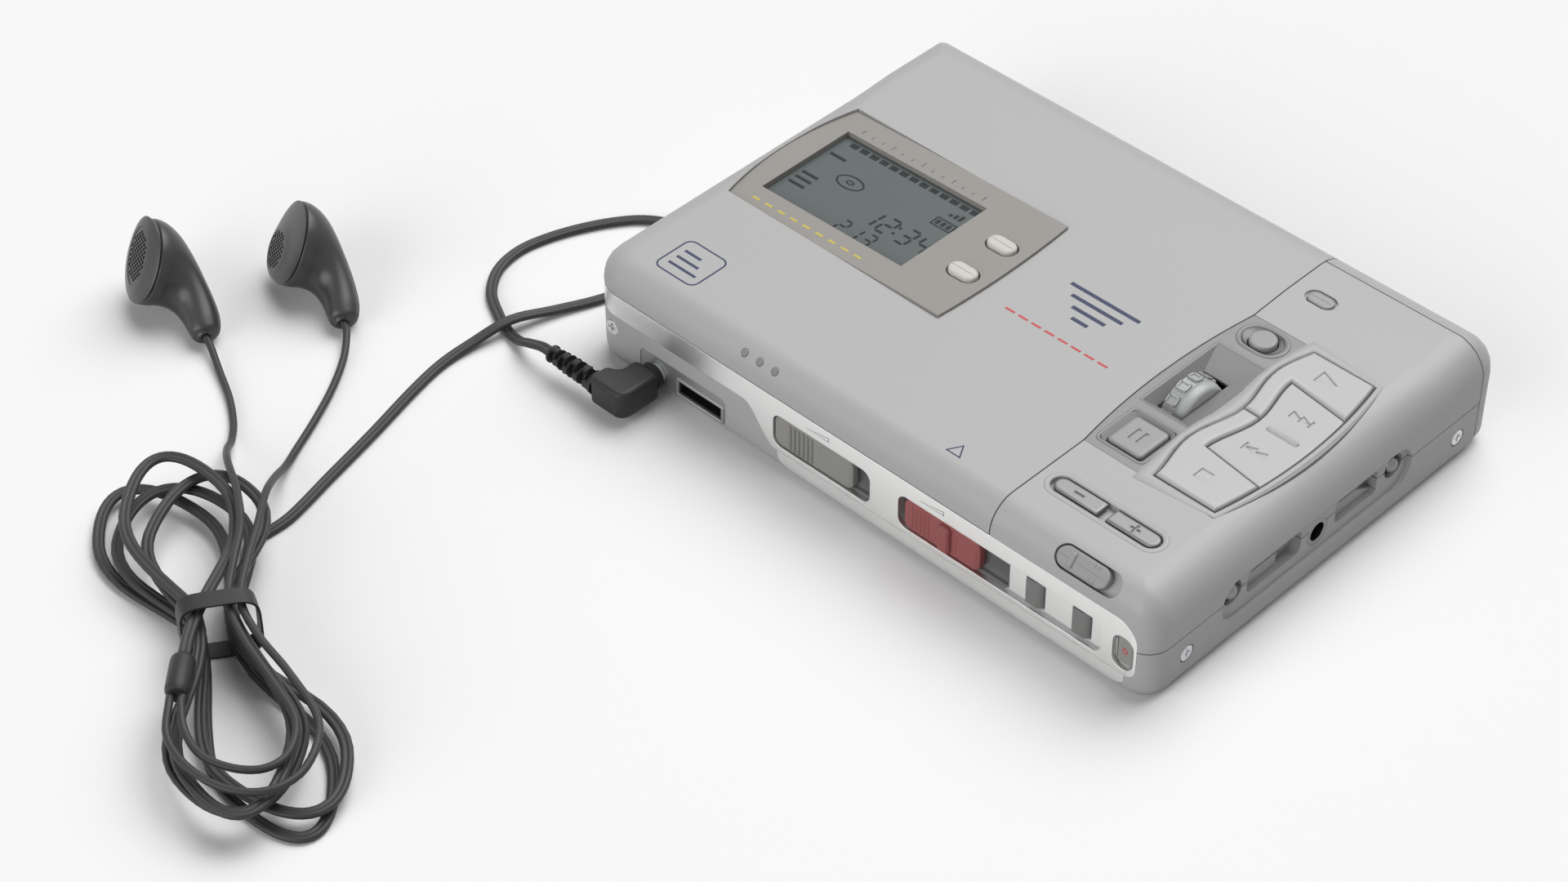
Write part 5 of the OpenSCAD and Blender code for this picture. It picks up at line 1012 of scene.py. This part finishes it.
splitter_z = cord_height + hank_step * (hank_loops - 1) + 2.5
splitter_start, splitter_end = in_hank(8.2, -5.8, splitter_z), in_hank(15, -8.3, splitter_z)
splitter_way = (splitter_end - splitter_start).normalized()
hank_way = (hank_point(0.02) - hank_point(0)).normalized()
run_points = [relief_end, relief_end - Vector((2.2, 0, 0))] + [Vector(p) for p in (
    (-59.6, -47.2, 2.7), (-62.6, -46.6, 1.1), (-66, -45.7, lie_z), (-70, -44, lie_z),
    (-74.4, -41.3, lie_z), (-77.7, -36.8, lie_z), (-78.8, -31.5, lie_z),
    (-78, -26.5, lie_z), (-76.2, -21.5, lie_z), (-73.6, -16.6, lie_z),
    (-70.4, -12.6, lie_z), (-66.2, -10.2, lie_z), (-62.2, -10.8, lie_z),
    (-59.4, -14, lie_z), (-58.6, -19, lie_z), (-59.6, -25.4, lie_z),
    (-61.5, -31.5, lie_z), (-64, -38, 1), (-66, -45, 2.1), (-67.2, -52, 1),
    (-67.3, -58, lie_z), (-65.8, -65, lie_z), (-63, -75, lie_z), (-60.2, -86, lie_z),
    (-57.8, -95.5, lie_z))] + [
    hank_point(0) - 6 * hank_way, hank_point(0) - cord_width * hank_way, hank_point(0)]
hank_end = hank_point(hank_loops)
end_way = (hank_end - hank_point(hank_loops - 0.02)).normalized()
tail_bends = (
    hank_end, hank_end + 6 * end_way + Vector((0, 0, 0.4)),
    splitter_start - 11 * splitter_way + Vector((0, 0, 0.2)),
    splitter_start - cord_width * splitter_way)


def bezier(bends, t):
    a, b, c, d = bends
    return (1 - t) ** 3 * a + 3 * t * (1 - t) ** 2 * b + 3 * t * t * (1 - t) * c + t ** 3 * d


loop_steps, tail_steps = 80, 24
twin_route = (
    spline(run_points, 5)[:-1]
    + [hank_point(i / loop_steps) for i in range(hank_loops * loop_steps)]
    + [bezier(tail_bends, i / tail_steps) for i in range(tail_steps + 1)] + [splitter_start])


def tube(route, section):
    """The section, given across and up, swept along a route."""
    rings = []
    for i, centre in enumerate(route):
        way = (route[min(i + 1, len(route) - 1)] - route[max(i - 1, 0)]).normalized()
        across = way.cross(Vector((0, 0, 1))).normalized()
        up = across.cross(way)
        rings.append([centre + across * a + up * b for a, b in section])
    return loft(rings)


core_r, core_off, core_steps = cord_height / 2, (cord_width - cord_height) / 2, 24
twin_section = []
for k in range(core_steps):
    turn = 2 * math.pi * (k + 0.5) / core_steps
    far = core_off * abs(math.cos(turn)) + math.sqrt(
        core_r ** 2 - (core_off * math.sin(turn)) ** 2)
    twin_section.append((far * math.cos(turn), far * math.sin(turn)))
twin_cord = add_piece(
    "twin_cord", tube(twin_route, twin_section), cord_rubber, "case",
    ("cord_run", "cord_hank"), sharp=60)


# Plug, relief, tie and splitter: an angled plug moulded on the cord's end, its notched bending
# relief, a thin band round the hank's waist, and a small barrel where the cord divides.

plug_rubber = moulded(
    "plug_rubber", tint(44, 44, 45), 0.4, grain=0.2, relief=0.003, worn=0.12, edge=0.1)
plug_x, plug_z, plug_half, plug_soft = -39.9, 3.9, 2.45, 0.8
plug_outline = rounded([
    (-37.35, -41.3, 1.0), (-42.45, -41.3, 1.0), (-42.45, -44.7, 1.0), (-44.6, -45.3, 1.0),
    (-44.6, -49.2, 1.2), (-38.3, -49.2, 0.78), (-37.35, -47.9, 0.78)])
collar_stand = Matrix.Translation((plug_x, -41.4, plug_z)) @ Matrix.Rotation(-math.pi / 2, 4, "X")
collar = lathe(((0, 1.6), (0, 2.0), (0.15, 2.2), (1.1, 2.2), (1.36, 1.95), (1.36, 1.6)))
plug = add_piece(
    "plug_elbow", joined(
        pebble(plug_outline, plug_z - plug_half, plug_z + plug_half, plug_soft),
        stood(collar, collar_stand)),
    plug_rubber, "case", ("plug_body",))

relief_start, relief_steps, relief_notches, relief_plain = -44.4, 90, 8, 0.06
relief_r, relief_taper, relief_round, notch_deep = 1.9, 0.5, 32, 0.62
relief_rings = []
for i in range(relief_steps + 1):
    share = i / relief_steps
    x = relief_start + (relief_end.x - relief_start) * share
    radius = relief_r - relief_taper * share
    notch = (share - relief_plain) * relief_notches / 0.9
    cut = 1 - smooth(4 - 8 * abs(notch % 1 - 0.5)) if 0 < notch < relief_notches else 1
    ring = []
    for k in range(relief_round):
        turn = 2 * math.pi * k / relief_round
        flat = math.cos(turn) if int(notch) % 2 else math.sin(turn)
        depth = (1 - cut) * notch_deep * smooth((abs(flat) - 0.35) / 0.15)
        ring.append(Vector((x, relief_end.y + radius * (1 - depth) * math.cos(turn),
                            relief_end.z + radius * (1 - depth) * math.sin(turn))))
    relief_rings.append(ring)
relief = add_piece(
    "plug_relief_ribs", loft(relief_rings), plug_rubber, "case", ("plug_relief",), sharp=50)

tie_half, tie_thick, tie_slant, tie_steps, tie_square = 1.5, 0.3, 0.12, 48, 0.45
tie_v, tie_z, tie_wide, tie_high = 0.6, 5.15, 5.25, 4.75
tie_rings = []
for k in range(tie_steps):
    turn = 2 * math.pi * k / tie_steps
    cos, sin = math.cos(turn), math.sin(turn)
    side = Vector((
        math.copysign(abs(cos) ** tie_square, cos), math.copysign(abs(sin) ** tie_square, sin)))
    ring = []
    for along, out in ((-tie_half, 0), (tie_half, 0), (tie_half, tie_thick), (-tie_half, tie_thick)):
        v = tie_v + (tie_wide + out) * side.x
        ring.append(in_hank(along + tie_slant * v, v, tie_z + (tie_high + out) * side.y))
    tie_rings.append(ring)
tie = add_piece(
    "hank_tie", loft(tie_rings, round_trip=True), plug_rubber, "case", ("cord_tie",))

splitter_length = (splitter_end - splitter_start).length
splitter_stand = Matrix.Translation(splitter_start) @ splitter_way.to_track_quat(
    "Z", "Y").to_matrix().to_4x4()
splitter = add_piece("splitter_barrel", stood(lathe((
    (0, 1.0), (0.1, 1.3), (0.7, 1.7), (1.2, 1.78), (splitter_length - 1.2, 1.78),
    (splitter_length - 0.7, 1.72), (splitter_length - 0.1, 1.4), (splitter_length, 1.1))),
    splitter_stand), plug_rubber, "case", ("cord_splitter",))


def length_of(route):
    return sum((b - a).length for a, b in zip(route, route[1:])) * mm


length_of(twin_route)
[p * mm for p in twin_route]


# Earphones: two moulded charcoal shells that taper back into a curved stem. Each is closed by a
# snapped-on cap with a grille whose holes are black discs, painted shade, and hangs on a thin
# rubber wire from the splitter.

ear_charcoal = moulded(
    "ear_charcoal", tint(56, 56, 57), 0.32, grain=0.2, relief=0.003, worn=0.15, edge=0.15, gloss=0.45)
cap_charcoal = moulded(
    "cap_charcoal", tint(68, 68, 69), 0.34, grain=0.2, relief=0.003, worn=0.2, edge=0.15, gloss=0.45)
# Painted shade: black discs stand for the grille holes. The same black draws the seam line on the stem.
hole_shade_and_seam_black = moulded("hole_shade_and_seam_black", tint(10, 10, 10), 0.6, grain=0.1, worn=0, gloss=0.05)
left_ear, right_ear = Vector((-109.7, -78, 7.8)), Vector((-97.1, -59.8, 7.8))
right_turn = math.radians(-7)
ear_x = Vector((0.83, -0.52, -0.2)).normalized()
ear_face = Vector((-0.36, -0.82, 0.44)).normalized()
ear_z = (ear_face - ear_face.dot(ear_x) * ear_x).normalized()
ear_y = ear_z.cross(ear_x)
stem_root, stem_tip = Vector((1.4, 0, -2.7)), Vector((13, 0, -6.6))
stem_way, stem_length = (stem_tip - stem_root).normalized(), (stem_tip - stem_root).length

ear_edges = (
    ((-6.35, 1.2, 6.35), (6.35, 1.2)), ((-6.58, 0.95, 6.58), (6.58, 0.95)),
    ((-6.6, 0.3, 6.6), (6.6, 0.4)), ((-6.45, -0.7, 6.45), (6.6, -0.3)), ((-5.7, -2.2, 6), (6.55, -1.2)),
    ((-4.2, -3.8, 5.4), (6.7, -2)), ((-1.9, -5.3, 4.7), (7.2, -2.8)), ((1, -6.7, 4.05), (8, -3.4)),
    ((4.2, -7.9, 3.5), (9.1, -3.8)), ((7.4, -8.8, 3.05), (10.3, -4.1)),
    ((10, -9.25, 2.7), (11.6, -4.35)), ((11.9, -9.2, 2.3), (12.6, -4.6)),
    ((12.8, -8.8, 2), (13.1, -5)), ((13.2, -7.6, 1.15), (13.3, -5.6)),
    ((12.7, -7.4, 0.8), (12.8, -5.8)))
back_edges = spline([Vector(back) for back, face in ear_edges], 3)
face_edges = spline([Vector((*face, 0)) for back, face in ear_edges], 3)
ring_steps = 40
shell_rings = []
for back, face in zip(back_edges, face_edges):
    ring = []
    for k in range(ring_steps):
        turn = 2 * math.pi * k / ring_steps
        share = 0.5 + 0.5 * math.cos(turn)
        ring.append(Vector((
            back.x + (face.x - back.x) * share, back.z * math.sin(turn),
            back.y + (face.y - back.y) * share)))
    shell_rings.append(ring)
wire_collar = Matrix.Translation(stem_tip) @ stem_way.to_track_quat("Z", "Y").to_matrix().to_4x4()
collar_profile = ((-0.6, 0.7), (-0.6, 1.25), (0.15, 1.3), (0.4, 1.15), (0.4, 0.7))
shell_form = joined(
    loft(shell_rings), stood(lathe(collar_profile, 24, round_trip=True), wire_collar))
seam_line = [ring[16] for ring in shell_rings[17:-7]]
seam_half = 0.07
seam_form = tube(seam_line, ((-seam_half, 0), (0, -seam_half), (seam_half, 0), (0, seam_half)))
cap_low, cap_high, grille_r, grille_drop = 1.24, 1.4, 4.2, 0.12
cap_profile = (
    (0, 6.35), (0.2, 6.58), (0.45, 6.5), (0.8, 6.1), (1.05, 5.4), (1.22, 4.7), (1.25, 4.4),
    (1.25 - grille_drop, 4.3), (1.28 - grille_drop, grille_r), (1.36 - grille_drop, 2.4),
    (cap_high - grille_drop, 0.05))
hole_pitch, hole_r, hole_rows, row_pitch, grille_full = 0.74, 0.25, 7, 0.866, 0.88
hole_deep, hole_proud, grille_dome, flare_start, flare_long = 0.05, 0.03, 0.12, 0.2, 0.85
diagonal = math.sqrt(0.5)


def cap_point(p, stretch, slide):
    """A point of the round cap, moved to where the oval face of one ear puts it."""
    share = smooth((p.z - cap_low - flare_start) / flare_long)
    along, across = (p.x - p.y) * diagonal, (p.x + p.y) * diagonal
    along = along * (1 + (stretch[0] - 1) * share) + slide[0] * share
    across = across * (1 + (stretch[1] - 1) * share) + slide[1] * share
    return Vector(((along + across) * diagonal, (across - along) * diagonal, p.z))


def cap_forms(stretch, slide):
    """The cap of one ear, and black discs for the holes of its grille, painted shade."""
    points, faces = lathe([(cap_low + z, r) for z, r in cap_profile], 56)
    shaped = [cap_point(p, stretch, slide) for p in points], faces
    holes = []
    for row in range(-hole_rows, hole_rows + 1):
        for k in range(-hole_rows, hole_rows + 1):
            along = hole_pitch * (k + 0.5 * (row % 2)) / stretch[0]
            across = hole_pitch * row_pitch * row / stretch[1]
            far = Vector((along, across)).length / grille_r
            if far < grille_full:
                middle = cap_point(Vector((
                    (along + across) * diagonal, (across - along) * diagonal, cap_low + cap_high)),
                    stretch, slide)
                z = cap_low + cap_high - grille_drop - grille_dome * far ** 2
                holes.append(plate(disc(middle.x, middle.y, hole_r, 10), z - hole_deep, z + hole_proud))
    return shaped, joined(*holes)


def ear_exit(stand, along):
    return stand @ (stem_root + stem_way * along)


wire_off = 0.8 * Vector((-splitter_way.y, splitter_way.x, 0))
wire_bends = {
    "left": (left_ear, wire_off, (
        (21, -8.6, 7.8), (25.6, -7.4, 7.4), (29, -4, 7.2), (30.4, 0, 7.2), (28.6, 3.6, 7.2),
        (23, 5.8, 7.3), (15, 4.4, 7.7), (7, 2.6, 8.3), (0, 2.2, 8.7), (-7, 4.5, 9.1),
        (-14, 7.2, 9.2), (-22, 8.4, 8.6), (-30, 8.8, 6.8), (-36.5, 9.8, 3.4)), (
        (-75.8, -91.3, 1.3), (-79.2, -88.2, wire_z), (-84, -85, wire_z), (-89.5, -82.3, 0.8)),
        0, (1.05, 0.8), (-0.6, 0)),
    "right": (right_ear, -wire_off, (
        (21, -11, 7.8), (26.6, -9.8, 7.4), (32, -6, 7.2), (34.4, -0.6, 7.2), (32, 5, 7.2),
        (24.6, 8.6, 7.3), (15, 7, 7.7), (7, 4.6, 8.3), (0, 3.9, 8.7), (-7, 6.5, 9.1),
        (-14, 9.6, 8.8), (-21, 12.2, 7.6), (-27, 14.6, 4.6), (-32.6, 17.4, 1.4)), (
        (-68.4, -85, wire_z), (-71, -79.7, wire_z), (-74.6, -73.2, wire_z), (-78.6, -67.4, 0.8)),
        right_turn, (0.72, 0.81), (1.6, -2.2)),
}
wire_section = disc(0, 0, wire_width / 2, 14)
for side, (ear, off, over_hank, on_table, turn, stretch, slide) in wire_bends.items():
    ear_stand = (
        Matrix.Translation(ear) @ Matrix.Rotation(turn, 4, "Z")
        @ Matrix((ear_x, ear_y, ear_z)).transposed().to_4x4())
    shell = add_piece("earphone_" + side, stood(shell_form, ear_stand), ear_charcoal, "case",
                      ("ear_shell_" + side,))
    cap_form, holes_form = cap_forms(stretch, slide)
    cap = add_piece("earphone_cap_" + side, stood(cap_form, ear_stand), cap_charcoal, "case",
                    ("ear_cap_" + side,), sharp=50)
    grille = add_piece("earphone_grille_" + side, stood(joined(holes_form, seam_form), ear_stand),
                       hole_shade_and_seam_black, "case")
    start = splitter_end + off
    route = spline(
        [start, start + 1.6 * splitter_way] + [in_hank(*p) for p in over_hank]
        + [Vector(p) for p in on_table]
        + [ear_exit(ear_stand, stem_length + 2), ear_exit(ear_stand, stem_length)], 5)
    wire = add_piece(
        "wire_" + side, tube(route, wire_section), cord_rubber, "case",
        ("cord_" + side,), sharp=60)
    start * mm
    length_of(route)
    [p * mm for p in route]
